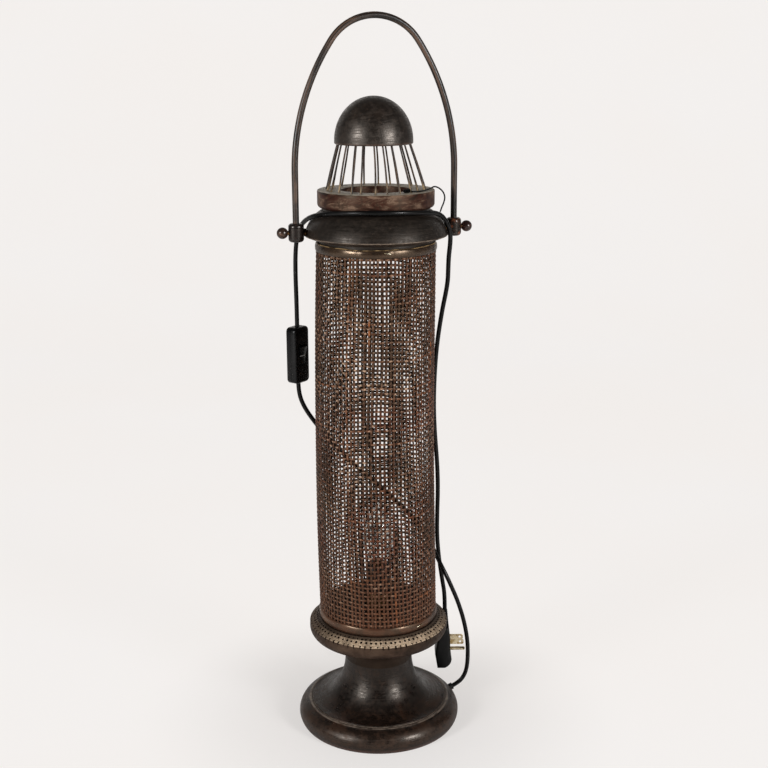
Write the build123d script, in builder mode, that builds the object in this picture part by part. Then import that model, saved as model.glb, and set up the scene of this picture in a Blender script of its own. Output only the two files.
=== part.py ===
from build123d import *
import os
from math import atan2, cos, pi, radians, sin, sqrt, tan

# Turned-wood lantern with a woven cane shade, a swinging bail and a wired lamp.
# Millimetres, +Z up. The origin is on the floor under the foot, on the turning axis.
# +X runs along the bail's pivot axis.

os.makedirs("parts", exist_ok=True)

# Foot
foot_radius = 93.5
foot_rest_radius = 90.5
foot_widest_height = 8.0
foot_shoulder_radius = 84.5
foot_shoulder_height = 23.5
foot_groove_radius = 78.3
foot_groove_height = 27.0
foot_groove_depth = 0.9
waist_radius = 38.8
waist_height = 78.0
tenon_radius = 20.0
tenon_depth = 18.0
bush_hole_length = 28.0
fit_gap = 0.2
recess_radius = 72.0
recess_height = 12.0
inner_recess_radius = 42.0
inner_recess_height = 34.0

# Gallery plate on the waist
gallery_radius = 79.4
gallery_lip_radius = 74.0
gallery_lip_bulge = (78.2, 112.5)
gallery_lip_top = 120.0
gallery_bevel = 1.0
gallery_edge_height = 123.5
gallery_under_height = 108.0
gallery_cove_start = 84.0
gallery_seat_height = 131.0
gallery_seat_radius = 68.0
gallery_spigot_radius = 62.0
gallery_spigot_height = 143.0

# Woven cane shade: flat stakes in a many-sided tube, rows laid outside and inside in turn
shade_sides = 22
stakes_per_side = 4
stake_pitch = 4.7
stake_width = 2.2
stake_inner = 63.7
cane_thickness = 0.9
row_count = 40
row_width = 2.2
band_thickness = 1.1
bottom_band_top = 141.5
top_band_bottom = 554.8
top_band_top = 564.8
staple_length = 6.0
staple_width = 0.8
staple_height = 0.5
staple_places = [(-6, 4.5, 561.0), (-4, 4.0, 137.0)]

# Collar over the shade
collar_under_height = 567.6
collar_under_radius = 66.8
collar_radius = 76.8
collar_edge_height = 571.5
collar_side_top = 572.5
collar_shoulder = (71.0, 586.5)
collar_neck_radius = 57.5
collar_neck_height = 599.0
collar_top_height = 600.8
collar_bore_radius = 50.0
collar_spigot_bottom = 555.0

# Bail, its hubs and their pivots
pivot_height = 576.8
pivot_radius = 2.5
running_gap = 0.05
pivot_inner_end = 63.0
pivot_outer_end = 100.5
pivot_spacer_radius = 4.2
bail_half_width = 87.3
bail_radius = 3.5
bail_top = 798.0
bail_crown_radius = 56.0
bail_spring_height = 640.0
bail_end_height = 581.8
hub_radius = 8.3
hub_half_height = 9.7
hub_straight_half = 6.0
hub_flat_radius = 6.0
hub_bulge = (7.6, 8.4)
finial_radius = 6.1
finial_offset = 102.0
cut_margin = 1.0

# Crown: ring, cage of rods and turned dome
crown_gap = 0.3
crown_ring_radius = 62.7
crown_ring_height = 18.7
crown_hole_radius = 37.3
crown_lip_radius = 49.6
crown_lip_depth = 6.0
crown_round = 4.5
crown_bevel = 1.0
rod_count = 24
rod_radius = 0.95
rod_foot_radius = 52.7
rod_head_radius = 38.6
dome_base_height = 667.5
dome_centre_height = 671.0
dome_radius = 41.8
dome_top = 717.0
dome_top_curve = 38.0
dome_edge_round = 1.5

# Lamp: threaded tube, nut, holder and candle bulb
nipple_radius = 5.0
nipple_bore = 3.2
nipple_bottom = 25.0
nipple_top = 157.0
nut_flats = 14.0
nut_height = 5.0
holder_cap_radius = 15.5
holder_cap_top = 158.0
holder_cap_slope = (1.5, 3.0)
holder_radius = 14.0
holder_slope = (2.0, 4.0)
holder_top = 192.0
holder_floor = 166.0
bulb_cap_radius = 6.9
bulb_contact_radius = 2.4
bulb_contact_slope = (1.2, 4.0)
bulb_shell_start = 6.0
bulb_cap_top = 194.0
bulb_neck = 6.5
bulb_radius = 17.0
bulb_widest_height = 219.0
bulb_shoulder = (6.0, 256.0)
bulb_tip = 268.0
bulb_wall = 0.8

# Mains cord
cord_radius = 2.5
cord_exit_angle = 5.0
cord_exit_radius = 94.5
cord_exit_slope = 20.0
cord_recess_height = 8.5
cord_recess_turn = 68.0
cord_inner_bend = 15.0
cord_first_run = 9.0
bush_radius = 4.0
bush_length = 20.0
bend_share = 0.45

# Switch on the cord
switch_centre = (-79.0, 49.0, 433.0)
switch_facing = -50.0
switch_width = 24.5
switch_length = 64.0
switch_half_depth = 7.0
switch_corner = 5.0
switch_edge = 1.4
rocker_width = 11.6
rocker_length = 21.0
rocker_clearance = 0.8
rocker_pivot_depth = 3.0
rocker_below_pivot = 3.4
rocker_rest_tilt = 8.0
rocker_pin_radius = 1.0
rocker_pin_length = 18.0
rocker_dip = 0.2
rocker_crest = 1.5
screw_place = 22.0
screw_radius = 1.3
screw_head_radius = 2.5
screw_head_height = 1.6
screw_reach = 4.5
screw_sink = 1.92

# Plug, hanging from the cord with its blades sideways
plug_axis = (84.5, 10.5)
plug_height = 75.0
plug_facing = -15.0
plug_depth = 25.0
plug_edge = 3.0
plug_face = 6.5
plug_face_half = 10.0
plug_back = 11.5
plug_top = 26.0
plug_bottom = 28.0
plug_neck_half = 4.6
relief_bottom = 101.0
relief_top = 119.0
relief_wide = 4.6
relief_narrow = 3.1
blade_width = 6.35
blade_thickness = 1.5
blade_length = 16.0
blade_spacing = 12.7
blade_rise = 5.0
blade_hole_radius = 1.5
blade_hole_inset = 4.0
earth_radius = 2.1
earth_length = 18.0
earth_drop = 6.9
earth_tip = 0.8

# Thin wire tie, knotted on the crown
tie_radius = 0.8
tie_knot_angle = 292.5
tie_knot_length = 9.0
tie_knot_width = 5.4
tie_knot_height = 4.6
tie_knot_bevel = 1.3

cord_exit_direction = Vector(cos(radians(cord_exit_angle)), sin(radians(cord_exit_angle)), 0)
cord_exit_height = cord_recess_height + (cord_exit_radius - cord_recess_turn) * tan(radians(cord_exit_slope))
cord_exit_point = cord_exit_direction * cord_exit_radius + Vector(0, 0, cord_exit_height)
cord_slope = radians(cord_exit_slope)
cord_axis = cord_exit_direction * cos(cord_slope) + Vector(0, 0, sin(cord_slope))

# Route from the foot round the back of the shade to the switch
switch_route = [
    cord_exit_point, cord_exit_point + cord_axis * cord_first_run, (109.0, 8.8, 28.6), (111.8, 6.6, 39.6),
    (111.0, 0.5, 58.0), (107.0, -9.0, 86.0), (101.0, -11.0, 114.0), (93.5, -10.5, 138.0),
    (85.2, -9.3, 158.5), (79.2, -6.0, 173.0), (74.4, 1.0, 184.5), (71.0, 10.5, 195.0),
    (67.0, 25.0, 207.5), (55.6, 46.6, 224.0), (34.4, 63.8, 246.0), (6.0, 72.6, 273.0),
    (-21.3, 70.2, 301.0), (-43.2, 60.9, 328.0), (-61.0, 52.5, 352.0), (-73.0, 48.8, 371.0),
    (-79.0, 49.0, 388.0), (-79.0, 49.0, 401.0),
]

# Route from the switch up and round the neck, then down the side of the shade to the plug
plug_route = [
    (-79.0, 49.0, 465.0), (-79.0, 49.0, 493.0), (-79.4, 49.8, 521.0), (-79.4, 47.5, 549.0),
    (-78.2, 41.0, 568.0), (-76.4, 28.0, 581.0), (-73.0, 12.0, 589.4), (-68.0, -7.4, 595.4),
    (-56.8, -31.2, 599.6), (-37.0, -55.4, 602.0), (-9.2, -66.3, 602.4), (18.6, -64.0, 601.4),
    (42.4, -49.8, 599.4), (56.6, -37.4, 596.8), (65.4, -31.0, 591.8), (70.9, -28.7, 584.0),
    (74.5, -28.8, 574.0), (75.0, -27.0, 562.0), (74.9, -22.4, 548.5), (76.0, -17.5, 533.6),
    (77.2, -13.0, 520.1), (76.6, -8.5, 506.1), (74.9, -3.5, 489.6), (73.2, 1.0, 470.7),
    (71.5, 5.5, 448.2), (70.3, 8.5, 424.6), (69.7, 11.0, 396.1), (69.6, 11.5, 366.5), (71.0, 10.5, 335.7),
    (73.5, 9.5, 304.5), (74.7, 9.5, 272.7), (75.0, 13.0, 240.4), (76.4, 17.5, 209.9), (79.4, 18.5, 181.0),
    (82.4, 15.5, 156.5), (84.5, 10.5, 137.5), (84.5, 10.5, 119.0),
]

# Route of the tie from its knot along the crown ring and over its edge to the wound cord
tie_route = [
    (25.1, -47.7, 621.6), (31.4, -48.6, 620.9), (40.4, -40.4, 620.9), (48.4, -30.4, 620.9),
    (56.6, -17.5, 621.2), (62.0, -10.6, 621.9), (67.2, -9.0, 620.2), (71.1, -12.0, 616.5),
    (71.9, -17.5, 610.9), (67.9, -24.5, 605.2), (63.5, -30.5, 600.8), (61.2, -34.6, 597.9),
]


def bend_radii(route):
    """Largest arc that fits each corner of a route."""
    points = [Vector(*point) for point in route]
    radii = []
    for before, corner, after in zip(points, points[1:], points[2:]):
        arriving = corner - before
        leaving = after - corner
        turn = arriving.get_angle(leaving)
        shorter = min(arriving.length, leaving.length)
        radii.append(bend_share * shorter / tan(radians(turn / 2)))
    return radii


def make_tube(name, route, radius):
    """Round cord along straight runs joined by tangent arcs."""
    radii = bend_radii(route)
    with BuildPart() as tube:
        with BuildLine() as path:
            FilletPolyline(*route, radius=radii)
        line = path.wires()[0]
        with BuildSketch(Plane(origin=line @ 0, z_dir=line % 0)):
            Circle(radius)
        sweep()
    section_volume = pi * radius**2 * line.length
    print(name, "length", round(line.length, 1), "volume ratio", round(tube.part.volume / section_volume, 4))
    print(name, "radii", [round(value, 1) for value in radii])
    return tube


pieces = {}

# Foot: trumpet flare over a rounded rim, hollowed underneath
with BuildPart() as foot:
    with BuildSketch(Plane.XZ):
        with BuildLine():
            rim = ThreePointArc(
                (foot_rest_radius, 0),
                (foot_radius, foot_widest_height),
                (foot_shoulder_radius, foot_shoulder_height),
            )
            groove = Polyline(
                rim @ 1,
                (foot_groove_radius + foot_groove_depth, foot_groove_height - foot_groove_depth / 2),
                (foot_groove_radius, foot_groove_height - foot_groove_depth),
                (foot_groove_radius - foot_groove_depth, foot_groove_height),
            )
            flare = EllipticalCenterArc(
                (foot_groove_radius - foot_groove_depth, waist_height),
                foot_groove_radius - foot_groove_depth - waist_radius,
                waist_height - foot_groove_height,
                start_angle=180,
                arc_size=90,
            )
            Polyline(
                (waist_radius, waist_height),
                (tenon_radius, waist_height),
                (tenon_radius, waist_height - tenon_depth),
                (nipple_radius + fit_gap, waist_height - tenon_depth),
                (nipple_radius + fit_gap, inner_recess_height),
                (inner_recess_radius, inner_recess_height),
                (inner_recess_radius, recess_height),
                (recess_radius, recess_height),
                (recess_radius, 0),
                (foot_rest_radius, 0),
            )
        make_face()
    revolve(axis=Axis.Z)
    with BuildSketch(Plane(origin=cord_exit_point, z_dir=cord_axis)):
        Circle(bush_radius + running_gap)
    extrude(amount=-bush_hole_length, mode=Mode.SUBTRACT)
pieces["foot"] = foot

# Gallery plate: coved underside, sloping top and a spigot inside the shade
with BuildPart() as gallery_plate:
    with BuildSketch(Plane.XZ):
        with BuildLine():
            Line((waist_radius, waist_height), (waist_radius, gallery_cove_start))
            EllipticalCenterArc(
                (gallery_lip_radius, gallery_cove_start),
                gallery_lip_radius - waist_radius,
                gallery_under_height - gallery_cove_start,
                start_angle=90,
                arc_size=90,
            )
            edge = ThreePointArc(
                (gallery_lip_radius, gallery_under_height), gallery_lip_bulge, (gallery_radius, gallery_lip_top)
            )
            Polyline(
                edge @ 1,
                (gallery_radius, gallery_edge_height),
                (gallery_radius - gallery_bevel, gallery_edge_height + gallery_bevel),
                (gallery_seat_radius, gallery_seat_height),
                (gallery_spigot_radius, gallery_seat_height),
                (gallery_spigot_radius, gallery_spigot_height),
                (nipple_radius + fit_gap, gallery_spigot_height),
                (nipple_radius + fit_gap, waist_height - tenon_depth + fit_gap),
                (tenon_radius - fit_gap, waist_height - tenon_depth + fit_gap),
                (tenon_radius - fit_gap, waist_height),
                (waist_radius, waist_height),
            )
        make_face()
    revolve(axis=Axis.Z)
pieces["gallery_plate"] = gallery_plate

# Upright stakes of the shade
stake_middle = stake_inner + cane_thickness / 2
with BuildPart() as cane_stakes:
    with BuildSketch(Plane.XY.offset(gallery_seat_height)):
        with PolarLocations(stake_middle, shade_sides):
            with GridLocations(stake_pitch, stake_pitch, 1, stakes_per_side):
                Rectangle(cane_thickness, stake_width)
    extrude(amount=collar_under_height - gallery_seat_height)
pieces["cane_stakes"] = cane_stakes

# Rows of the shade, laid outside and inside the stakes in turn
stake_outer = stake_inner + cane_thickness
corner_turn = 180 / shade_sides
row_pitch = (top_band_bottom - bottom_band_top) / (row_count + 1)
row_heights = [bottom_band_top + (row + 1) * row_pitch - row_width / 2 for row in range(row_count)]
with BuildPart() as outside_row:
    with BuildSketch():
        RegularPolygon(stake_outer + cane_thickness, shade_sides, major_radius=False, rotation=corner_turn)
        RegularPolygon(stake_outer, shade_sides, major_radius=False, rotation=corner_turn, mode=Mode.SUBTRACT)
    extrude(amount=row_width)
with BuildPart() as inside_row:
    with BuildSketch():
        RegularPolygon(stake_inner, shade_sides, major_radius=False, rotation=corner_turn)
        RegularPolygon(
            stake_inner - cane_thickness,
            shade_sides,
            major_radius=False,
            rotation=corner_turn,
            mode=Mode.SUBTRACT,
        )
    extrude(amount=row_width)
with BuildPart() as cane_rows:
    with Locations([(0, 0, height) for height in row_heights[0::2]]):
        add(outside_row.part)
    with Locations([(0, 0, height) for height in row_heights[1::2]]):
        add(inside_row.part)
pieces["cane_rows"] = cane_rows

# Varnished bands that bind the two ends of the shade
band_heights = {
    "bottom_band": (gallery_seat_height, bottom_band_top),
    "top_band": (top_band_bottom, top_band_top),
}
for band_name, (band_bottom, band_top) in band_heights.items():
    with BuildPart() as band:
        with BuildSketch(Plane.XY.offset(band_bottom)):
            RegularPolygon(stake_outer + band_thickness, shade_sides, major_radius=False, rotation=corner_turn)
            RegularPolygon(
                stake_outer, shade_sides, major_radius=False, rotation=corner_turn, mode=Mode.SUBTRACT
            )
        extrude(amount=band_top - band_bottom)
    pieces[band_name] = band

# Wire staples that close the two bands, placed by side of the tube, distance along it and height
band_face = stake_outer + band_thickness
with BuildPart() as band_staples:
    for side_number, along, height in staple_places:
        facing = side_number * 360 / shade_sides
        outward = Vector(cos(radians(facing)), sin(radians(facing)), 0)
        tangent = Vector(-sin(radians(facing)), cos(radians(facing)), 0)
        staple_plane = Plane(
            origin=outward * band_face + tangent * along + Vector(0, 0, height), x_dir=tangent, z_dir=outward
        )
        with BuildSketch(staple_plane):
            Rectangle(staple_length, staple_width)
        extrude(amount=staple_height)
pieces["band_staples"] = band_staples

# Collar: sloping shoulder over a sharp lower edge, with a spigot in the shade and a seat for the crown
with BuildPart() as collar:
    with BuildSketch(Plane.XZ):
        with BuildLine():
            shoulder = ThreePointArc(
                (collar_radius, collar_side_top), collar_shoulder, (collar_neck_radius, collar_neck_height)
            )
            Polyline(
                shoulder @ 1,
                (collar_neck_radius, collar_top_height),
                (collar_bore_radius, collar_top_height),
                (collar_bore_radius, collar_spigot_bottom),
                (gallery_spigot_radius, collar_spigot_bottom),
                (gallery_spigot_radius, collar_under_height),
                (collar_under_radius, collar_under_height),
                (collar_radius, collar_edge_height),
                shoulder @ 0,
            )
        make_face()
    revolve(axis=Axis.Z)
    for side in (-1, 1):
        with BuildSketch(Plane.YZ.offset(side * pivot_inner_end)):
            with Locations((0, pivot_height)):
                Circle(pivot_radius + running_gap)
        extrude(amount=side * (collar_radius - pivot_inner_end + cut_margin), mode=Mode.SUBTRACT)
pieces["collar"] = collar


def make_pivot_pin(side):
    """Pin through a hub, with a spacer between the collar and the hub."""
    spacer_start = collar_radius + fit_gap
    spacer_end = bail_half_width - hub_radius - fit_gap
    with BuildPart() as pin:
        with BuildSketch(Plane.YZ.offset(side * pivot_inner_end)):
            with Locations((0, pivot_height)):
                Circle(pivot_radius)
        extrude(amount=side * (pivot_outer_end - pivot_inner_end))
        with BuildSketch(Plane.YZ.offset(side * spacer_start)):
            with Locations((0, pivot_height)):
                Circle(pivot_spacer_radius)
        extrude(amount=side * (spacer_end - spacer_start))
    return pin


def make_finial(side):
    """Turned ball on the outer end of a pivot pin."""
    centre = side * finial_offset
    with BuildPart() as finial:
        with Locations((centre, 0, pivot_height)):
            Sphere(finial_radius)
        with BuildSketch(Plane.YZ.offset(side * pivot_outer_end)):
            with Locations((0, pivot_height)):
                Circle(pivot_radius + running_gap)
        extrude(amount=-side * finial_radius, mode=Mode.SUBTRACT)
    return finial


def make_hub(side):
    """Upright barrel with a cross bore for the pin and a socket for the bail."""
    centre = side * bail_half_width
    bulge_radius, bulge_height = hub_bulge
    with BuildPart() as hub:
        with BuildSketch(Plane(origin=(centre, 0, pivot_height), x_dir=(1, 0, 0), z_dir=(0, -1, 0))):
            with BuildLine():
                lower = ThreePointArc(
                    (hub_flat_radius, -hub_half_height),
                    (bulge_radius, -bulge_height),
                    (hub_radius, -hub_straight_half),
                )
                upper = ThreePointArc(
                    (hub_radius, hub_straight_half),
                    (bulge_radius, bulge_height),
                    (hub_flat_radius, hub_half_height),
                )
                Line(lower @ 1, upper @ 0)
                Polyline(upper @ 1, (0, hub_half_height), (0, -hub_half_height), lower @ 0)
            make_face()
        revolve(axis=Axis((centre, 0, 0), (0, 0, 1)))
        with BuildSketch(Plane.XY.offset(bail_end_height - running_gap)):
            with Locations((centre, 0)):
                Circle(bail_radius + running_gap)
        extrude(amount=hub_half_height, mode=Mode.SUBTRACT)
        with BuildSketch(Plane.YZ.offset(centre)):
            with Locations((0, pivot_height)):
                Circle(pivot_radius + running_gap)
        extrude(amount=hub_radius + cut_margin, both=True, mode=Mode.SUBTRACT)
    return hub


for side, side_name in [(-1, "left"), (1, "right")]:
    pieces["pivot_pin_" + side_name] = make_pivot_pin(side)
    pieces["finial_" + side_name] = make_finial(side)
    pieces["hub_" + side_name] = make_hub(side)

# Bail: three-centred arch of round rod
crown_centre = bail_top - bail_crown_radius
spring_drop = crown_centre - bail_spring_height
radius_step = bail_half_width - bail_crown_radius
side_radius = (bail_half_width**2 + spring_drop**2 - bail_crown_radius**2) / (2 * radius_step)
side_centre = bail_half_width - side_radius
arch_lean = atan2(spring_drop, -side_centre)
arch_joint = (
    bail_crown_radius * cos(arch_lean),
    crown_centre + bail_crown_radius * sin(arch_lean),
)
with BuildPart() as bail:
    with BuildLine(Plane.XZ) as bail_path:
        right_leg = Line((bail_half_width, bail_end_height), (bail_half_width, bail_spring_height))
        right_side = TangentArc(right_leg @ 1, Plane.XZ.from_local_coords(arch_joint), tangent=right_leg % 1)
        ThreePointArc(arch_joint, (0, bail_top), (-arch_joint[0], arch_joint[1]))
        mirror(right_leg, about=Plane.YZ)
        mirror(right_side, about=Plane.YZ)
    with BuildSketch(Plane.XY.offset(bail_end_height)):
        with Locations((bail_half_width, 0)):
            Circle(bail_radius)
    sweep()
pieces["bail"] = bail

# Crown ring, seated on the collar with a lip in its bore
crown_seat = collar_top_height + crown_gap
crown_ring_top = crown_seat + crown_ring_height
with BuildPart() as crown_ring:
    with BuildSketch(Plane.XZ):
        with BuildLine():
            underside = Polyline(
                (crown_hole_radius, crown_seat - crown_lip_depth),
                (crown_lip_radius, crown_seat - crown_lip_depth),
                (crown_lip_radius, crown_seat),
                (crown_ring_radius - crown_round, crown_seat),
            )
            lower_round = RadiusArc(underside @ 1, (crown_ring_radius, crown_seat + crown_round), -crown_round)
            Polyline(
                lower_round @ 1,
                (crown_ring_radius, crown_ring_top - crown_bevel),
                (crown_ring_radius - crown_bevel, crown_ring_top),
                (crown_hole_radius, crown_ring_top),
                (crown_hole_radius, crown_seat - crown_lip_depth),
            )
        make_face()
    revolve(axis=Axis.Z)
pieces["crown_ring"] = crown_ring

# Cage of leaning rods between the ring and the dome
rod_rise = dome_base_height - crown_ring_top
rod_lean = rod_foot_radius - rod_head_radius
rod_length = sqrt(rod_rise**2 + rod_lean**2)
with BuildPart() as crown_rod:
    with BuildSketch(Plane.XY.offset(crown_ring_top)):
        with Locations((rod_foot_radius, 0)):
            Circle(rod_radius)
    extrude(amount=rod_length, dir=(-rod_lean, 0, rod_rise))
with BuildPart() as crown_rods:
    with PolarLocations(0, rod_count):
        add(crown_rod.part)
pieces["crown_rods"] = crown_rods

# Turned dome over the cage, a little taller than a half ball: a flatter arc below and a tighter one on top
dome_rise = dome_top - dome_centre_height
top_drop = dome_rise - dome_top_curve
dome_side_curve = (top_drop**2 + dome_radius**2 - dome_top_curve**2) / (2 * (dome_radius - dome_top_curve))
side_offset = dome_side_curve - dome_radius
joint_turn = atan2(top_drop, side_offset)
dome_joint = (
    dome_top_curve * cos(joint_turn),
    dome_top - dome_top_curve + dome_top_curve * sin(joint_turn),
)
with BuildPart() as dome_cap:
    with BuildSketch(Plane.XZ):
        with BuildLine():
            Polyline(
                (0, dome_base_height),
                (dome_radius - dome_edge_round, dome_base_height),
                (dome_radius, dome_base_height + dome_edge_round),
                (dome_radius, dome_centre_height),
            )
            side_arc = TangentArc((dome_radius, dome_centre_height), dome_joint, tangent=(0, 1))
            TangentArc(dome_joint, (0, dome_top), tangent=side_arc % 1)
            Line((0, dome_top), (0, dome_base_height))
        make_face()
    revolve(axis=Axis.Z)
pieces["dome_cap"] = dome_cap

# Threaded tube through the pedestal, and the nut under it
with BuildPart() as nipple:
    with BuildSketch(Plane.XY.offset(nipple_bottom)):
        Circle(nipple_radius)
        Circle(nipple_bore, mode=Mode.SUBTRACT)
    extrude(amount=nipple_top - nipple_bottom)
pieces["nipple"] = nipple

with BuildPart() as nipple_nut:
    with BuildSketch(Plane.XY.offset(inner_recess_height - nut_height)):
        RegularPolygon(nut_flats / 2, 6, major_radius=False)
        Circle(nipple_radius + running_gap, mode=Mode.SUBTRACT)
    extrude(amount=nut_height)
pieces["nipple_nut"] = nipple_nut

# Lampholder: domed cap on the tube, sleeve above it
with BuildPart() as holder_cap:
    with BuildSketch(Plane.XZ):
        with BuildLine():
            Polyline(
                (nipple_radius + running_gap, gallery_spigot_height),
                (holder_cap_radius, gallery_spigot_height),
                (holder_cap_radius, holder_cap_top - holder_cap_slope[1]),
                (holder_cap_radius - holder_cap_slope[0], holder_cap_top),
                (nipple_radius + running_gap, holder_cap_top),
                close=True,
            )
        make_face()
    revolve(axis=Axis.Z)
pieces["holder_cap"] = holder_cap

with BuildPart() as holder_sleeve:
    with BuildSketch(Plane.XZ):
        with BuildLine():
            Polyline(
                (nipple_bore, holder_cap_top),
                (holder_radius, holder_cap_top),
                (holder_radius, holder_top - holder_slope[1]),
                (holder_radius - holder_slope[0], holder_top),
                (bulb_cap_radius + running_gap, holder_top),
                (bulb_cap_radius + running_gap, holder_floor),
                (nipple_bore, holder_floor),
                close=True,
            )
        make_face()
    revolve(axis=Axis.Z)
pieces["holder_sleeve"] = holder_sleeve

# Candle bulb: screw cap with its contact, and a thin glass envelope
with BuildPart() as bulb_cap:
    with BuildSketch(Plane.XZ):
        with BuildLine():
            Polyline(
                (0, holder_floor),
                (bulb_contact_radius, holder_floor),
                (bulb_cap_radius - bulb_contact_slope[0], holder_floor + bulb_contact_slope[1]),
                (bulb_cap_radius, holder_floor + bulb_shell_start),
                (bulb_cap_radius, bulb_cap_top),
                (0, bulb_cap_top),
                close=True,
            )
        make_face()
    revolve(axis=Axis.Z)
pieces["bulb_cap"] = bulb_cap


def make_envelope(inset):
    """Candle-shaped solid: arcs up from the neck to the widest place and on to a blunt tip."""
    shoulder_radius, shoulder_height = bulb_shoulder
    with BuildPart() as envelope:
        with BuildSketch(Plane.XZ):
            with BuildLine():
                widest = (bulb_radius - inset, bulb_widest_height)
                TangentArc(widest, (bulb_neck - inset, bulb_cap_top), tangent=(0, -1))
                upper = TangentArc(widest, (shoulder_radius - inset, shoulder_height), tangent=(0, 1))
                Polyline(
                    upper @ 1,
                    (0, bulb_tip - inset),
                    (0, bulb_cap_top),
                    (bulb_neck - inset, bulb_cap_top),
                )
            make_face()
        revolve(axis=Axis.Z)
    return envelope


glass_outside = make_envelope(0)
glass_inside = make_envelope(bulb_wall)
with BuildPart() as bulb_glass:
    add(glass_outside.part)
    add(glass_inside.part, mode=Mode.SUBTRACT)
pieces["bulb_glass"] = bulb_glass

# Flex inside the foot, up the threaded tube to the holder
with BuildPart() as inner_flex:
    with BuildLine() as flex_path:
        flex_turn = cord_exit_direction * cord_recess_turn + Vector(0, 0, cord_recess_height)
        FilletPolyline(
            (0, 0, holder_cap_top),
            (0, 0, cord_recess_height),
            flex_turn,
            cord_exit_point,
            radius=cord_inner_bend,
        )
    flex_line = flex_path.wires()[0]
    with BuildSketch(Plane(origin=flex_line @ 0, z_dir=flex_line % 0)):
        Circle(cord_radius)
    sweep()
pieces["inner_flex"] = inner_flex

# Rubber bush where the cord leaves the foot
with BuildPart() as cord_bush:
    with BuildSketch(Plane(origin=cord_exit_point, z_dir=cord_axis)):
        Circle(bush_radius)
        Circle(cord_radius + running_gap, mode=Mode.SUBTRACT)
    extrude(amount=-bush_length)
pieces["cord_bush"] = cord_bush

pieces["cord_to_switch"] = make_tube("cord_to_switch", switch_route, cord_radius)
pieces["cord_to_plug"] = make_tube("cord_to_plug", plug_route, cord_radius)

# Inline switch: two half shells, a rocker on its pin and two screws
facing = radians(switch_facing)
switch_plane = Plane(
    origin=switch_centre,
    x_dir=(-sin(facing), cos(facing), 0),
    z_dir=(cos(facing), sin(facing), 0),
)
rocker_height = switch_half_depth - rocker_pivot_depth
screw_head_plane = switch_plane.offset(screw_sink - switch_half_depth)
pocket_width = rocker_width + 2 * rocker_clearance
pocket_length = rocker_length + 3 * rocker_clearance

with BuildPart() as switch_base:
    with BuildSketch(switch_plane) as switch_outline:
        Rectangle(switch_width, switch_length)
        chamfer(switch_outline.vertices(), switch_corner)
    extrude(amount=-switch_half_depth)
    back_edges = switch_base.faces().sort_by(Axis(switch_centre, switch_plane.z_dir))[0].edges()
    chamfer(back_edges, switch_edge)
    with BuildSketch(switch_plane):
        Rectangle(pocket_width, pocket_length)
    extrude(amount=-rocker_below_pivot, mode=Mode.SUBTRACT)
    with BuildSketch(switch_plane):
        with GridLocations(screw_place, 2 * screw_place, 1, 2):
            Circle(screw_radius + running_gap)
    extrude(amount=-switch_half_depth, mode=Mode.SUBTRACT)
    with BuildSketch(screw_head_plane):
        with GridLocations(screw_place, 2 * screw_place, 1, 2):
            Circle(screw_head_radius + running_gap)
    extrude(amount=-switch_half_depth, mode=Mode.SUBTRACT)
pieces["switch_base"] = switch_base

with BuildPart() as switch_cover:
    with BuildSketch(switch_plane) as cover_outline:
        Rectangle(switch_width, switch_length)
        chamfer(cover_outline.vertices(), switch_corner)
    extrude(amount=switch_half_depth)
    front_edges = switch_cover.faces().sort_by(Axis(switch_centre, switch_plane.z_dir))[-1].edges()
    chamfer(front_edges, switch_edge)
    with BuildSketch(switch_plane):
        Rectangle(pocket_width, pocket_length)
    extrude(amount=switch_half_depth, mode=Mode.SUBTRACT)
    with BuildSketch(Plane(origin=switch_plane.origin, x_dir=switch_plane.y_dir, z_dir=switch_plane.x_dir)):
        with Locations((0, rocker_height)):
            Circle(rocker_pin_radius + running_gap)
    extrude(amount=rocker_pin_length / 2, both=True, mode=Mode.SUBTRACT)
    with BuildSketch(switch_plane):
        with GridLocations(screw_place, 2 * screw_place, 1, 2):
            Circle(screw_radius + running_gap)
    extrude(amount=screw_reach, mode=Mode.SUBTRACT)
pieces["switch_cover"] = switch_cover

with BuildPart() as switch_screws:
    with BuildSketch(screw_head_plane):
        with GridLocations(screw_place, 2 * screw_place, 1, 2):
            Circle(screw_radius)
    extrude(amount=switch_half_depth - screw_sink + screw_reach)
    with BuildSketch(screw_head_plane):
        with GridLocations(screw_place, 2 * screw_place, 1, 2):
            Circle(screw_head_radius)
    extrude(amount=-screw_head_height)
pieces["switch_screws"] = switch_screws

rocker_pivot = switch_plane.origin + switch_plane.z_dir * rocker_height
pin_plane = Plane(origin=rocker_pivot, x_dir=switch_plane.y_dir, z_dir=switch_plane.x_dir)
tilt = radians(rocker_rest_tilt)
tilted_plane = Plane(
    origin=rocker_pivot,
    x_dir=switch_plane.y_dir * cos(tilt) + switch_plane.z_dir * sin(tilt),
    z_dir=switch_plane.x_dir,
)
with BuildPart() as switch_rocker:
    with BuildSketch(tilted_plane):
        Polygon(
            (-rocker_length / 2, -rocker_below_pivot),
            (rocker_length / 2, -rocker_below_pivot),
            (rocker_length / 2, rocker_pivot_depth + rocker_crest),
            (0, rocker_pivot_depth + rocker_dip),
            (-rocker_length / 2, rocker_pivot_depth + rocker_crest),
            align=None,
        )
        Circle(rocker_pin_radius + running_gap, mode=Mode.SUBTRACT)
    extrude(amount=rocker_width / 2, both=True)
pieces["switch_rocker"] = switch_rocker

with BuildPart() as rocker_pin:
    with BuildSketch(pin_plane):
        Circle(rocker_pin_radius)
    extrude(amount=rocker_pin_length / 2, both=True)
pieces["rocker_pin"] = rocker_pin

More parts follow.
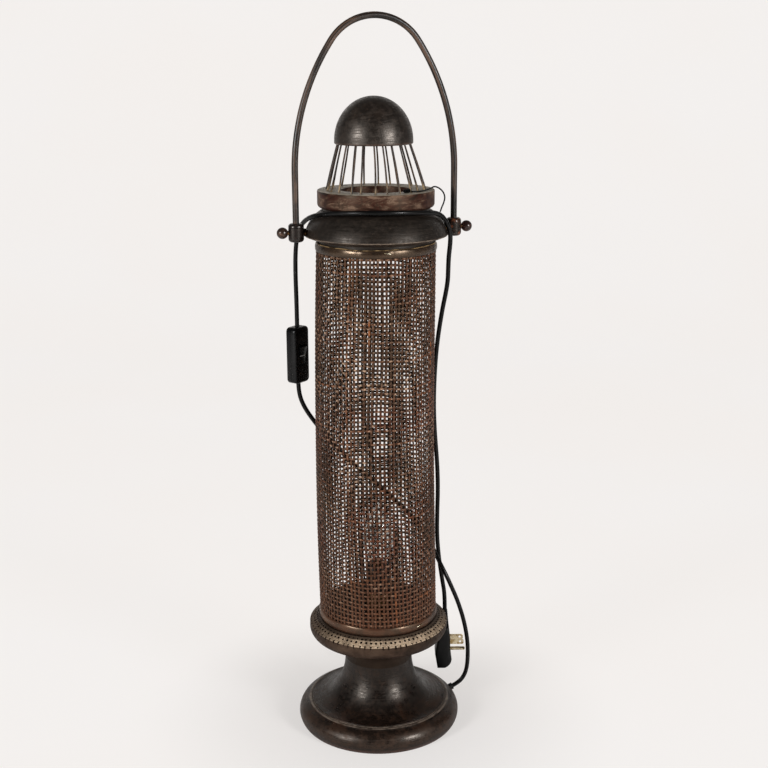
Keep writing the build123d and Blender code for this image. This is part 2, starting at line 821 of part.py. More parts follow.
# Plug: moulded body with a sleeve for the cord, two flat blades and an earth pin
blade_turn = radians(plug_facing)
blade_direction = Vector(cos(blade_turn), sin(blade_turn), 0)
plug_side = Vector(sin(blade_turn), -cos(blade_turn), 0)
plug_centre = Vector(plug_axis[0], plug_axis[1], plug_height)
plug_plane = Plane(origin=plug_centre, x_dir=blade_direction, z_dir=plug_side)
with BuildPart() as plug_body:
    with BuildSketch(plug_plane):
        with BuildLine():
            face_line = Line((plug_face, -plug_face_half), (plug_face, plug_face_half))
            top_line = Line((plug_neck_half, plug_top), (-plug_neck_half, plug_top))
            bottom_line = Line(
                (-plug_back + plug_edge, -plug_bottom),
                (plug_face - 2 * plug_edge, -plug_bottom),
            )
            Line(face_line @ 1, top_line @ 0)
            ThreePointArc(top_line @ 1, (-plug_back + plug_edge, plug_face_half), (-plug_back, -plug_face_half))
            Line((-plug_back, -plug_face_half), bottom_line @ 0)
            ThreePointArc(bottom_line @ 1, (plug_face - plug_edge / 2, -plug_bottom + plug_edge), face_line @ 0)
        make_face()
    extrude(amount=plug_depth / 2, both=True)
    long_edges = plug_body.faces().filter_by(plug_plane).edges()
    chamfer(long_edges, plug_edge)
pieces["plug_body"] = plug_body

relief_plane = Plane(origin=(*plug_axis, 0), x_dir=(1, 0, 0), z_dir=(0, -1, 0))
with BuildPart() as plug_relief:
    with BuildSketch(relief_plane):
        with BuildLine():
            Polyline(
                (0, relief_bottom),
                (relief_wide, relief_bottom),
                (relief_narrow, relief_top),
                (0, relief_top),
                close=True,
            )
        make_face()
    revolve(axis=Axis((*plug_axis, 0), (0, 0, 1)))
pieces["plug_relief"] = plug_relief

face_plane = Plane(origin=plug_centre + blade_direction * plug_face, x_dir=plug_side, z_dir=blade_direction)
with BuildPart() as plug_blades:
    with BuildSketch(face_plane):
        with Locations((-blade_spacing / 2, blade_rise), (blade_spacing / 2, blade_rise)):
            Rectangle(blade_thickness, blade_width)
    extrude(amount=blade_length)
    with BuildSketch(plug_plane):
        with Locations((plug_face + blade_length - blade_hole_inset, blade_rise)):
            Circle(blade_hole_radius)
    extrude(amount=plug_depth, both=True, mode=Mode.SUBTRACT)
pieces["plug_blades"] = plug_blades

with BuildPart() as plug_earth_pin:
    with BuildSketch(face_plane):
        with Locations((0, -earth_drop)):
            Circle(earth_radius)
    extrude(amount=earth_length)
    tip_edge = plug_earth_pin.faces().sort_by(Axis(plug_centre, blade_direction))[-1].edges()
    chamfer(tip_edge, earth_tip)
pieces["plug_earth_pin"] = plug_earth_pin

# Tie: a knot among the rods on the crown ring, with its free tail over the edge
knot_turn = radians(tie_knot_angle)
knot_outward = Vector(cos(knot_turn), sin(knot_turn), 0)
knot_centre = knot_outward * rod_foot_radius + Vector(0, 0, crown_ring_top + running_gap)
with BuildPart() as tie_knot:
    with BuildSketch(Plane(origin=knot_centre, x_dir=knot_outward, z_dir=(0, 0, 1))):
        Rectangle(tie_knot_width, tie_knot_length)
    extrude(amount=tie_knot_height)
    knot_edges = tie_knot.edges().filter_by(Axis.Z) + tie_knot.faces().sort_by(Axis.Z)[-1].edges()
    chamfer(knot_edges, tie_knot_bevel)
pieces["tie_knot"] = tie_knot

pieces["cord_tie"] = make_tube("cord_tie", tie_route, tie_radius)

for name, piece in pieces.items():
    piece.part.label = name
    export_step(piece.part, f"parts/{name}.step")
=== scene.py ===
import random
from cmath import phase as angle_of
from math import atan2, cos, pi, radians, sin, sqrt, tau

import bmesh
import bpy
import numpy as np
from mathutils import Color, Matrix, Vector


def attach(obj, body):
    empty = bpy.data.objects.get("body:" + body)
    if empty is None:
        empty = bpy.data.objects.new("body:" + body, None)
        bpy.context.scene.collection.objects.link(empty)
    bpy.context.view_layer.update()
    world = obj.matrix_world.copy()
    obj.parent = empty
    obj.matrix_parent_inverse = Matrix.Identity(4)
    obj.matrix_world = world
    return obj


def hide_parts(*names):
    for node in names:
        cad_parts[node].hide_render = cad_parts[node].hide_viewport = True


# A turned-wood lantern with a woven cane shade. Sizes are in millimetres in the part's own
# frame and are scaled to metres where a piece is made. Turned pieces are outlines of
# (radius, height) points spun round an axis. Colours are screen values from 0 to 255.

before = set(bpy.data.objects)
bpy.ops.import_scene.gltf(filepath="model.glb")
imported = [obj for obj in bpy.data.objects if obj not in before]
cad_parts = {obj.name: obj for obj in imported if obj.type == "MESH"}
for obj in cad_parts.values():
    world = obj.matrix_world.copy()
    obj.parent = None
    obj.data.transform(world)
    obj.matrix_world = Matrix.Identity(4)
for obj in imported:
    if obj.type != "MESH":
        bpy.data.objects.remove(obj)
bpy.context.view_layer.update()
mm = 0.001
draw = random.Random(11)

# View of the photograph
camera_place = (-341.4, -1304.1, 762)
camera_turn = -15
camera_pitch = 14.83
camera_roll = -0.25
camera_focal = 58.97
camera_sensor = 36


def linear_light(colour):
    """A screen colour as linear light."""
    return (*Color([value / 255 for value in colour]).from_srgb_to_scene_linear(), 1)


class Nodes:
    """Adds linked nodes to a node tree."""

    def __init__(self, tree):
        self.tree = tree

    def feed(self, socket, value):
        """Links an output to a socket, or sets it to a number or colour."""
        if isinstance(value, bpy.types.NodeSocket):
            self.tree.links.new(value, socket)
        else:
            socket.default_value = linear_light(value) if isinstance(value, tuple) else value

    def node(self, kind, inputs=None, **settings):
        """A new node, with inputs fed by their number or name."""
        node = self.tree.nodes.new(kind)
        for setting, value in settings.items():
            setattr(node, setting, value)
        for key, value in (inputs or {}).items():
            self.feed(node.inputs[key], value)
        return node

    def math(self, operation, first, second=0):
        return self.node("ShaderNodeMath", {0: first, 1: second}, operation=operation).outputs[0]

    def times(self, first, second):
        return self.math("MULTIPLY", first, second)

    def plus(self, first, second):
        return self.math("ADD", first, second)

    def span(self, value, low, high, floor=0, ceiling=1):
        """Goes smoothly from floor to ceiling as value goes from low to high."""
        inputs = {"Value": value, "From Min": low, "From Max": high, "To Min": floor, "To Max": ceiling}
        return self.node("ShaderNodeMapRange", inputs, interpolation_type="SMOOTHSTEP").outputs["Result"]

    def seen(self):
        """1 for what is seen directly or through glass, otherwise 0."""
        rays = self.node("ShaderNodeLightPath").outputs
        return self.math("MAXIMUM", rays["Is Camera Ray"], rays["Is Transmission Ray"])


class Paint(Nodes):
    """A procedural material whose base colour is laid on in layers."""

    def __init__(self, name, specular=0.5, tint=(255, 255, 255), base=None):
        self.material = bpy.data.materials.new(name)
        self.material.use_nodes = True
        super().__init__(self.material.node_tree)
        self.shader = self.tree.nodes["Principled BSDF"]
        self.put("Specular IOR Level", specular)
        self.put("Specular Tint", tint)
        coordinates = self.node("ShaderNodeTexCoord").outputs
        self.place = coordinates["Object"]
        self.normal = coordinates["Normal"]
        self.base = base

    def put(self, socket, value):
        """Feeds one input of the shader."""
        self.feed(self.shader.inputs[socket], value)

    def split(self, vector):
        return self.node("ShaderNodeSeparateXYZ", {0: vector}).outputs

    def join(self, x, y, z):
        return self.node("ShaderNodeCombineXYZ", {0: x, 1: y, 2: z}).outputs[0]

    def noise(self, scale, vector=None, detail=4, roughness=0.55, distortion=0):
        """Noise with so many lumps to a metre, or to a unit of the vector."""
        inputs = {"Vector": self.place if vector is None else vector, "Scale": scale}
        inputs |= {"Detail": detail, "Roughness": roughness, "Distortion": distortion}
        return self.node("ShaderNodeTexNoise", inputs).outputs["Fac"]

    def grain(self, round_scale, along_scale, **settings):
        """Noise drawn out round a turned piece."""
        x, y, _ = self.split(self.place)
        radius = self.radius()
        spread = self.math("DIVIDE", round_scale / mm, self.math("MAXIMUM", radius, 1))
        outline = self.times(self.plus(radius, self.height()), along_scale)
        vector = self.join(self.times(x, spread), self.times(y, spread), outline)
        return self.noise(1, vector, **settings)

    def attribute(self, name):
        return self.node("ShaderNodeAttribute", attribute_name=name).outputs["Fac"]

    def height(self):
        """Height above the floor in mm."""
        return self.times(self.split(self.place)[2], 1 / mm)

    def radius(self):
        """Distance from the turning axis in mm."""
        x, y, _ = self.split(self.place)
        return self.times(self.math("SQRT", self.plus(self.times(x, x), self.times(y, y))), 1 / mm)

    def mix(self, factor, first, second):
        return self.node("ShaderNodeMix", {0: factor, 6: first, 7: second}, data_type="RGBA").outputs[2]

    def ramp(self, value, *stops):
        """Colours that follow a value, from stops of (value, colour)."""
        node = self.node("ShaderNodeValToRGB", {0: value})
        elements = node.color_ramp.elements
        while len(elements) < len(stops):
            elements.new(1)
        for element, (place, colour) in zip(elements, stops):
            element.position = place
            element.color = linear_light(colour)
        return node.outputs[0]

    def over(self, colour, *masks):
        """Lays a colour over the base as far as all the masks go."""
        share = masks[0]
        for mask in masks[1:]:
            share = self.times(share, mask)
        self.base = self.mix(share, self.base, colour)

    def patch(self, pattern, low, high, share, colour):
        """Lays a colour on, up to a share, as a pattern goes from low to high."""
        self.over(colour, self.span(pattern, low, high, 0, share))

    def finish(self, pattern, smooth, rough, relief=None, depth=0, strength=0, low=0.3, high=0.7):
        """The material, with roughness that follows a pattern and a relief in mm."""
        self.put("Base Color", self.base)
        self.put("Roughness", self.span(pattern, low, high, smooth, rough))
        if relief is not None:
            bump = {"Strength": strength, "Distance": depth * mm, "Height": relief}
            self.put("Normal", self.node("ShaderNodeBump", bump).outputs[0])
        return self.material


# Materials

warm = (255, 242, 230)
amber = (255, 222, 190)
worn_wood = (92, 74, 60)


def ebonised_wood(name, dark, brown, brown_share, tone_spans, specular, polish=0.32):
    """Blackened turned wood with brown patches, lathe lines and colours laid over bands of height."""
    paint = Paint(name, specular, warm, dark)
    patches = paint.noise(26, detail=5, roughness=0.6, distortion=0.6)
    mottle = paint.noise(190, detail=5, roughness=0.7)
    scuffs = paint.noise(420, detail=3, roughness=0.7)
    lines = paint.grain(2.2, 1.5, detail=3)
    ragged = paint.span(paint.grain(9, 0.26), 0.30, 0.62, 0.15, 1)
    height = paint.height()
    paint.patch(patches, 0.62 - brown_share, 0.74 - brown_share / 2, 1, brown)
    paint.patch(mottle, 0.46, 0.66, 0.8, brown)
    paint.patch(lines, 0.48, 0.76, 0.5, brown)
    paint.patch(scuffs, 0.60, 0.76, 0.35, worn_wood)
    # Colours over bands of height; on the foot these include a painted highlight, painted sheen and painted
    # shade.
    for low, high, soft, worn, share in tone_spans:
        rise = paint.span(height, low - soft, low)
        fall = paint.span(height, high, high + soft, share, 0)
        paint.over(worn, rise, fall, ragged)
    surface = paint.plus(lines, mottle)
    return paint.finish(surface, polish, polish + 0.26, paint.times(surface, 0.5), 0.3, 0.7, 0.75, 1.25)


def ring_wood():
    """Mottled red-brown turned wood with a pale, worn top face."""
    paint = Paint("ring_wood", 0.3, amber)
    patches = paint.grain(2.6, 0.12, detail=6, roughness=0.72, distortion=0.8)
    fine = paint.noise(160)
    lines = paint.grain(3, 0.9, detail=3)
    height = paint.height()
    pale = paint.ramp(fine, (0.30, (108, 99, 86)), (0.55, (156, 147, 131)), (0.75, (184, 175, 159)))
    top = paint.mix(paint.span(patches, 0.50, 0.70, 0, 0.6), pale, (92, 74, 61))
    figure = [(0.40, (18, 9, 7)), (0.47, (52, 23, 17)), (0.53, (62, 42, 33)), (0.62, (108, 86, 71))]
    paint.base = paint.ramp(patches, *figure)
    paint.patch(fine, 0.48, 0.66, 0.7, (30, 17, 13))
    paint.patch(lines, 0.50, 0.80, 0.3, (40, 28, 23))
    level = paint.span(paint.split(paint.normal)[2], 0.55, 0.9)
    paint.over(top, level, paint.span(height, ring_top - 3.3, ring_top - 0.8))
    paint.over((60, 36, 28), paint.span(height, ring_seat + 0.1, ring_seat + 5.1, 0.5, 0))
    return paint.finish(patches, 0.36, 0.56, paint.plus(lines, paint.times(fine, 0.5)), 0.12, 0.5)


def gallery_wood():
    """Brown turned wood whose sloping top is worn pale in front, with painted shade in its holes, under its
    cove and round the foot of the shade.
    """
    paint = Paint("gallery_wood", 0.24, amber)
    patches = paint.noise(30, detail=5, roughness=0.65, distortion=0.9)
    fine = paint.noise(240)
    grit = paint.noise(900, detail=3)
    lines = paint.grain(3, 0.8, detail=3)
    radius = paint.radius()
    height = paint.height()

    pale = paint.ramp(grit, (0.30, (122, 100, 80)), (0.50, (172, 150, 126)), (0.68, (214, 194, 168)))
    dull = paint.ramp(grit, (0.32, (50, 39, 31)), (0.52, (78, 64, 52)), (0.72, (112, 97, 80)))
    front = paint.span(paint.split(paint.place)[1], -72 * mm, -10 * mm, 1, 0)
    worn = paint.times(front, paint.span(paint.noise(70), 0.34, 0.56, 0.5, 1))
    # Painted shade and grime: a dark ring on the slope where the shade stands on it.
    grime_and_shade = paint.span(paint.plus(radius, paint.times(fine, 3)), 72.2, 74.4, 0.9, 0)
    top = paint.mix(grime_and_shade, paint.mix(worn, dull, pale), (44, 34, 28))

    slope = paint.math("SUBTRACT", slope_height(0), paint.times(radius, gallery_fall))
    sunk = paint.math("SUBTRACT", slope, height)
    within = paint.span(radius, 78.9, 79.2, 1, 0)
    paint.base = paint.ramp(patches, (0.34, (30, 22, 18)), (0.52, (50, 37, 30)), (0.70, (72, 57, 47)))
    paint.patch(lines, 0.48, 0.78, 0.35, (34, 26, 22))
    # Painted shade under the cove, darkest at the waist.
    paint.over((15, 10, 8), paint.span(height, waist_height, cove_top, 0.8, 0))
    paint.over(top, paint.span(sunk, 0.25, 0.6, 1, 0))
    # Painted shade: the walls of the small holes are near-black.
    paint.over((9, 6, 5), within, paint.span(height, 117, 119), paint.span(sunk, 0.1, 0.35))
    return paint.finish(fine, 0.44, 0.62, paint.plus(lines, paint.times(fine, 0.8)), 0.14, 0.5)


def cane_skin(name, dust_and_highlight_share):
    """Aged split cane in strands of differing tone, with dust and painted highlights on their crowns, and
    painted shade where they dip under each other and on the inside.
    """
    paint = Paint(name, 0.36, amber)
    dust = paint.noise(360, detail=3)
    crown = paint.attribute("crown")
    height = paint.height()
    dark = [(0.00, (25, 12, 8)), (0.35, (53, 27, 17)), (0.62, (86, 47, 30))]
    orange = [(0.84, (116, 68, 43)), (0.93, (154, 86, 44)), (1.00, (174, 102, 53))]
    strand = paint.ramp(paint.attribute("tone"), *dark, *orange)
    stains = [(0.40, (78, 32, 22)), (0.50, (52, 30, 20)), (0.60, (64, 46, 29))]
    paint.base = paint.mix(0.4, strand, paint.ramp(paint.noise(11, detail=3), *stains))
    paint.patch(paint.noise(34, roughness=0.6), 0.42, 0.64, 0.5, (34, 19, 14))
    # Painted shade where the strands dip under the strands that cross them.
    paint.over((13, 8, 6), paint.span(crown, 0.15, 0.75, 0.92, 0))
    # Dust and painted highlights on the crowns of the strands, more of them higher up.
    raised = paint.span(crown, 0.40, 0.85)
    dust_and_highlight = paint.span(dust, 0.44, 0.64, 0, dust_and_highlight_share)
    patchy = paint.span(paint.noise(16, detail=2), 0.42, 0.60, 0.2, 1)
    paint.over((212, 178, 150), raised, dust_and_highlight, patchy, paint.span(height, 220, 460, 0.62, 1))
    paint.over((94, 60, 43), paint.span(height, 150, 235, 0.42, 0))
    # Painted shade on the faces that look into the shade.
    x, y, _ = paint.split(paint.place)
    across, along, _ = paint.split(paint.normal)
    facing = paint.plus(paint.times(x, across), paint.times(y, along))
    paint.over((15, 10, 8), paint.span(facing, -20 * mm, 10 * mm, 0.85, 0))
    return paint.finish(dust, 0.32, 0.5, dust, 0.08, 0.4)


def varnished_strip(name, tones, polish):
    """Varnished split-cane band, streaky, pale where its edge is worn, with painted shade along its lower
    part.
    """
    paint = Paint(name, 0.9, amber)
    streaks = paint.grain(5, 0.62)
    patches = paint.noise(24, roughness=0.6, distortion=0.8)
    broken = paint.span(paint.noise(90, detail=3), 0.42, 0.58, 0.15, 1)
    paint.base = paint.ramp(patches, *zip((0.36, 0.50, 0.66), tones))
    paint.patch(streaks, 0.46, 0.70, 0.75, (20, 12, 8))
    # Painted shade along the lower part of the band.
    paint.over((14, 8, 6), paint.attribute("grime_and_shade"))
    paint.over((176, 146, 104), paint.attribute("edge"), broken)
    return paint.finish(streaks, polish, polish + 0.16, streaks, 0.14, 0.6)


def bent_rod():
    """Dark lacquered bent rod, rubbed brown in long streaks."""
    paint = Paint("bent_rod", 0.4, base=(20, 16, 13))
    around = [paint.times(paint.attribute(name), 1.6) for name in ("round_cos", "round_sin")]
    streak = paint.noise(1, paint.join(*around, paint.attribute("along")))
    fleck = paint.noise(700, detail=2)
    paint.patch(streak, 0.44, 0.62, 1, (86, 66, 53))
    paint.patch(paint.noise(24, roughness=0.6), 0.46, 0.64, 0.75, (22, 18, 16))
    paint.patch(fleck, 0.64, 0.74, 0.4, (110, 92, 78))
    return paint.finish(streak, 0.30, 0.46, paint.plus(streak, fleck), 0.08, 0.5)


def polished_knob(name, dark, red, share):
    """Small polished turnings, dark with red-brown figure."""
    paint = Paint(name, 0.4, warm, dark)
    paint.put("Coat Weight", 0.35)
    paint.put("Coat Roughness", 0.1)
    figure = paint.noise(130, distortion=1.4)
    paint.patch(figure, 0.62 - share, 0.78 - share, 1, red)
    return paint.finish(figure, 0.26, 0.42, figure, 0.05, 0.4)


def rod_cane():
    """Thin dark rods with painted golden glints near some of their feet."""
    paint = Paint("rod_cane", 0.36, base=(30, 20, 15))
    along = paint.grain(60, 0.09, detail=3)
    foot = paint.span(paint.height(), ring_top + 0.7, ring_top + 16.2, 1, 0)
    paint.patch(along, 0.42, 0.66, 1, (80, 60, 44))
    # Painted glints: golden patches near the feet of some rods.
    paint.over((176, 150, 112), foot, paint.span(along, 0.46, 0.66))
    return paint.finish(along, 0.36, 0.55, along, 0.05, 0.4)


def sheath(name, colour, rough, specular=0.24):
    """Black flexible plastic or rubber with a faint skin texture."""
    paint = Paint(name, specular, base=colour)
    scuff = paint.noise(60)
    paint.patch(scuff, 0.55, 0.75, 0.3, (26, 26, 27))
    return paint.finish(scuff, rough - 0.06, rough + 0.08, paint.noise(900, detail=2), 0.03, 0.3)


def moulding(name, colour, rough):
    """Hard moulded plastic with light scuffs and dust."""
    paint = Paint(name, 0.26, base=colour)
    scuff = paint.noise(90, detail=5, roughness=0.7)
    dust = paint.noise(1500, detail=1)
    paint.patch(scuff, 0.56, 0.78, 0.3, (36, 36, 37))
    paint.patch(dust, 0.70, 0.80, 0.3, (84, 82, 80))
    return paint.finish(scuff, rough - 0.05, rough + 0.10, dust, 0.02, 0.3)


def metal(name, bright, tarnish, rough, share=0.5):
    """Bare metal with tarnish in patches and fine scratches."""
    paint = Paint(name, base=bright)
    paint.put("Metallic", 1)
    patches = paint.noise(180, roughness=0.65)
    paint.patch(patches, 0.62 - share / 2, 0.80 - share / 2, 1, tarnish)
    return paint.finish(patches, rough, rough + 0.18, paint.noise(1600, detail=2), 0.02, 0.3)


def clear_glass():
    """Clear lamp glass with a trace of haze."""
    paint = Paint("clear_glass", base=(250, 250, 248))
    paint.put("Transmission Weight", 1)
    paint.put("IOR", 1.46)
    haze = paint.noise(60, detail=3)
    paint.patch(haze, 0.4, 0.7, 0.3, (232, 230, 224))
    return paint.finish(haze, 0.02, 0.08)


# Meshes, made from shapes: lists of vertices and faces


def ellipse(centre, across, up, start, turn, steps):
    """Points along part of an ellipse, from a start angle through a turn."""
    angles = [start + turn * step / steps for step in range(steps + 1)]
    return [(centre[0] + across * cos(angle), centre[1] + up * sin(angle)) for angle in angles]


def arc(start, middle, end, steps):
    """Points on the circle through three points."""
    first, second, third = (complex(*point) for point in (start, middle, end))
    ratio = (third - first) / (second - first)
    centre = first + (second - first) * (ratio - abs(ratio) ** 2) / (2j * ratio.imag)
    angles = [angle_of(point - centre) for point in (first, second, third)]
    turn = (angles[2] - angles[0]) % tau
    if (angles[1] - angles[0]) % tau > turn:
        turn -= tau
    radius = abs(first - centre)
    return ellipse((centre.real, centre.imag), radius, radius, angles[0], turn, steps)


turning_steps = 160


def spin(outline, steps=turning_steps):
    """An outline spun round Z, joined end to start unless it starts on the axis."""
    turns = [tau * step / steps for step in range(steps)]
    vertices = []
    rings = []
    for radius, height in outline:
        around = turns if radius else turns[:1]
        rings.append([len(vertices) + step % len(around) for step in range(steps)])
        vertices += [(radius * cos(turn), radius * sin(turn), height) for turn in around]
    pairs = list(zip(rings, rings[1:]))
    if outline[0][0]:
        pairs.append((rings[-1], rings[0]))
    faces = []
    for lower, upper in pairs:
        for step in range(steps):
            after = (step + 1) % steps
            corners = dict.fromkeys((lower[step], lower[after], upper[after], upper[step]))
            if len(corners) > 2:
                faces.append(tuple(corners))
    return vertices, faces


def strand_faces(strands, steps, corners, ring):
    """Faces of strands of equal length, which are closed rings or have flat ends."""
    faces = []
    for strand in range(strands):
        start = strand * steps * corners
        end = start + (steps - 1) * corners
        for step in range(steps if ring else steps - 1):
            low = start + step * corners
            high = start + (step + 1) % steps * corners
            for corner in range(corners):
                after = (corner + 1) % corners
                faces.append((low + corner, low + after, high + after, high + corner))
        if not ring:
            faces += [tuple(range(start, start + corners)), tuple(range(end, end + corners))]
    return faces


def loft(rings):
    """Closed rings of points joined in order, with both ends filled."""
    vertices = [point for ring in rings for point in ring]
    return vertices, strand_faces(1, len(rings), len(rings[0]), False)


def tube(points, radii, sides=8):
    """A round rod through points, with one radius or a radius at each point."""
    points = [Vector(point) for point in points]
    radii = np.broadcast_to(radii, len(points))
    last = len(points) - 1
    side = (points[1] - points[0]).orthogonal()
    turns = [tau * step / sides for step in range(sides)]
    rings = []
    for number, (point, radius) in enumerate(zip(points, radii)):
        ahead = (points[min(number + 1, last)] - points[max(number - 1, 0)]).normalized()
        side = (side - ahead * side.dot(ahead)).normalized()
        up = ahead.cross(side)
        rings.append([point + (side * cos(turn) + up * sin(turn)) * radius for turn in turns])
    return loft(rings)


def merge(shapes):
    """Several shapes as one."""
    vertices = []
    faces = []
    for points, sides in shapes:
        start = len(vertices)
        vertices.extend(points)
        faces.extend(tuple(corner + start for corner in side) for side in sides)
    return vertices, faces


def round_axes(turn):
    """Unit vectors outward and sideways at a turn round the upright axis."""
    return Vector((cos(turn), sin(turn), 0)), Vector((-sin(turn), cos(turn), 0))


upward = Vector((0, 0, 1))
smooth_angle = 35


def make_mesh(shape, place=None, sharp=smooth_angle):
    """A smooth-shaded mesh in metres from a shape in mm."""
    vertices, faces = shape
    mesh = bpy.data.meshes.new("shape")
    mesh.from_pydata([tuple(point) for point in vertices], [], faces)
    if place is not None:
        mesh.transform(place)
    mesh.transform(Matrix.Scale(mm, 4))
    facing = bmesh.new()
    facing.from_mesh(mesh)
    bmesh.ops.recalc_face_normals(facing, faces=facing.faces)
    facing.to_mesh(mesh)
    facing.free()
    mesh.shade_smooth()
    mesh.set_sharp_from_angle(angle=radians(sharp))
    return mesh


def add_object(name, data):
    """A new object in the scene."""
    item = bpy.data.objects.new(name, data)
    bpy.context.scene.collection.objects.link(item)
    return item


def cut_away(mesh, cutter):
    """The mesh with the cutter's solids taken out of it."""
    body = add_object("body_to_cut", mesh)
    tool = add_object("cutting_tool", cutter)
    difference = body.modifiers.new("cut", "BOOLEAN")
    difference.operation = "DIFFERENCE"
    difference.solver = "EXACT"
    difference.object = tool
    graph = bpy.context.evaluated_depsgraph_get()
    graph.update()
    result = bpy.data.meshes.new_from_object(body.evaluated_get(graph))
    for item in (body, tool):
        bpy.data.objects.remove(item)
    result.set_sharp_from_angle(angle=radians(smooth_angle))
    return result


def set_values(mesh, name, values):
    """A number for each vertex, which the materials read by name."""
    attribute = mesh.attributes.new(name, "FLOAT", "POINT")
    attribute.data.foreach_set("value", np.asarray(values, dtype=np.float32).ravel())


def stand_for(node, name, form, material, body="root"):
    """A piece that rides on a body, in the place of a node of the frame."""
    form.name = name
    form.materials.clear()
    form.materials.append(material)
    piece = add_object(name, form)
    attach(piece, body)
    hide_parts(node)
    return piece


# Turned pieces

waist_radius = 38.8
waist_height = 78
flare_radius = 77.4
flare_low = 27


def foot_piece():
    rim = arc((90.5, 0), (93.5, 8), (84.5, 23.5), 22)
    bead = arc((82.4, 24.6), (80.6, 25.9), (79.2, 25.6), 6)
    groove = arc((79, 25.5), (78.3, 25.2), (77.7, 26.3), 4)
    flare_size = (flare_radius - waist_radius, waist_height - flare_low)
    flare = ellipse((flare_radius, waist_height), *flare_size, pi, pi / 2, 28)
    socket = [(20, waist_height), (20, 60), (5.2, 60), (5.2, 34)]
    recess = [(42, 34), (42, 12), (72, 12), (72, 0)]
    # A reddish worn lower edge, a painted highlight along the groove line, painted sheen on the rim and
    # painted shade on the flare up to the waist.
    worn = [
        (0, 2, 4, (66, 36, 26), 0.7),
        (25.4, 25.9, 0.25, (122, 108, 96), 0.65),
        (10, 19, 5, (74, 54, 42), 0.26),
        (40, 80, 14, (14, 10, 8), 0.8),
    ]
    wood = ebonised_wood("foot_wood", (17, 11, 8), (44, 28, 19), 0.09, worn, 0.38, 0.24)
    mesh = make_mesh(spin(rim + bead + groove + flare[::-1] + socket + recess))
    stand_for("foot", "turned_foot", mesh, wood)


cove_top = 108
cove_radius = 74
cove_depth = 24
gallery_radius = 79.4
gallery_crest = (78.4, 124.5)
gallery_seat = (68, 131)
gallery_fall = (gallery_seat[1] - gallery_crest[1]) / (gallery_crest[0] - gallery_seat[0])
vent_circles = [(84, 74, 1.38), (84, 70.6, 1.2), (75, 78.5, 1.1)]


def slope_height(radius):
    """Height of the gallery's sloping top at a radius."""
    return gallery_crest[1] + (gallery_crest[0] - radius) * gallery_fall


def vent_holes():
    """Cutters for three rings of small holes outside the shade."""
    cutters = []
    for count, circle, hole_radius in vent_circles:
        for number in range(count):
            outward, _ = round_axes(tau * (number + draw.uniform(-0.13, 0.13)) / count)
            radius = circle + draw.uniform(-0.2, 0.2)
            hole = hole_radius * draw.uniform(0.85, 1.1)
            top = outward * radius + upward * slope_height(radius)
            cutters.append(tube([top + upward * 2, top - upward * 3], hole, 10))
    return make_mesh(merge(cutters))


def gallery_piece():
    cove_centre = (cove_radius, cove_top - cove_depth)
    cove = ellipse(cove_centre, cove_radius - waist_radius, cove_depth, pi / 2, pi / 2, 20)
    lip = arc((cove_radius, cove_top), (78.2, 112.5), (gallery_radius, 120), 12)
    crest = arc((gallery_radius, 123.5), (gallery_radius - 0.3, 124.2), gallery_crest, 3)
    boss = [gallery_seat, (62, gallery_seat[1]), (62, 143), (5.2, 143)]
    spigot = [(5.2, 60.2), (19.8, 60.2), (19.8, waist_height), (waist_radius, waist_height)]
    turned = make_mesh(spin(cove[::-1] + lip + crest + boss + spigot))
    stand_for("gallery_plate", "turned_gallery", cut_away(turned, vent_holes()), gallery_wood())


def collar_piece():
    side = arc((76.8, 571.5), (76.95, 572), (76.8, 572.5), 3)
    shoulder = arc((76.8, 572.5), (71, 586.5), (57.5, 599), 26)[1:]
    inside = [(57.5, 600.8), (50, 600.8), (50, 555), (62, 555), (62, 567.6), (66.8, 567.6)]
    worn = [(571.6, 572.3, 0.4, (124, 108, 94), 0.7), (567, 571, 1, (54, 40, 33), 0.5)]
    wood = ebonised_wood("collar_wood", (23, 19, 16), (36, 29, 24), 0.05, worn, 0.36)
    stand_for("collar", "turned_collar", make_mesh(spin(side + shoulder + inside)), wood)


ring_seat = 601.1
ring_top = 619.8
ring_radius = 62.7


def crown_ring_piece():
    low = arc((58.2, ring_seat), (61.4, 602.4), (ring_radius, 605.6), 8)
    edge_middle = (ring_radius - 0.4, ring_top - 0.4)
    edge = arc((ring_radius, ring_top - 1.4), edge_middle, (ring_radius - 1.4, ring_top), 4)
    hole = arc((38.6, ring_top), (37.7, ring_top - 0.5), (37.3, ring_top - 1.6), 4)
    inside = [(37.3, 595.1), (49.6, 595.1), (49.6, ring_seat)]
    mesh = make_mesh(spin(low + edge + hole + inside))
    stand_for("crown_ring", "turned_ring", mesh, ring_wood(), "crown")


# The cage leans a little, so the dome stands slightly to one side
crown_lean = Vector((-1.9, 0.5, 0))
dome_base = 667.5
dome_middle = 671
dome_top = 717
dome_radius = 41.8


def dome_piece():
    edge = arc((40.3, dome_base), (41.4, 668), (dome_radius, 669.4), 5)
    curve = ellipse((0, dome_middle), dome_radius, dome_top - dome_middle, 0, pi / 2, 36)
    curve[-1] = (0, dome_top)
    worn = [(667, 669, 1.6, (74, 52, 42), 0.6)]
    wood = ebonised_wood("dome_wood", (20, 15, 12), (37, 28, 22), 0.07, worn, 0.72, 0.28)
    shape = spin([(0, dome_base)] + edge + curve)
    mesh = make_mesh(shape, Matrix.Translation(crown_lean))
    stand_for("dome_cap", "turned_dome", mesh, wood, "crown")


# Crown rods

rod_count = 24
rod_foot = 52.7
rod_head = 38.6
rod_radius = 1
rod_bow = 0.3
rod_steps = 9


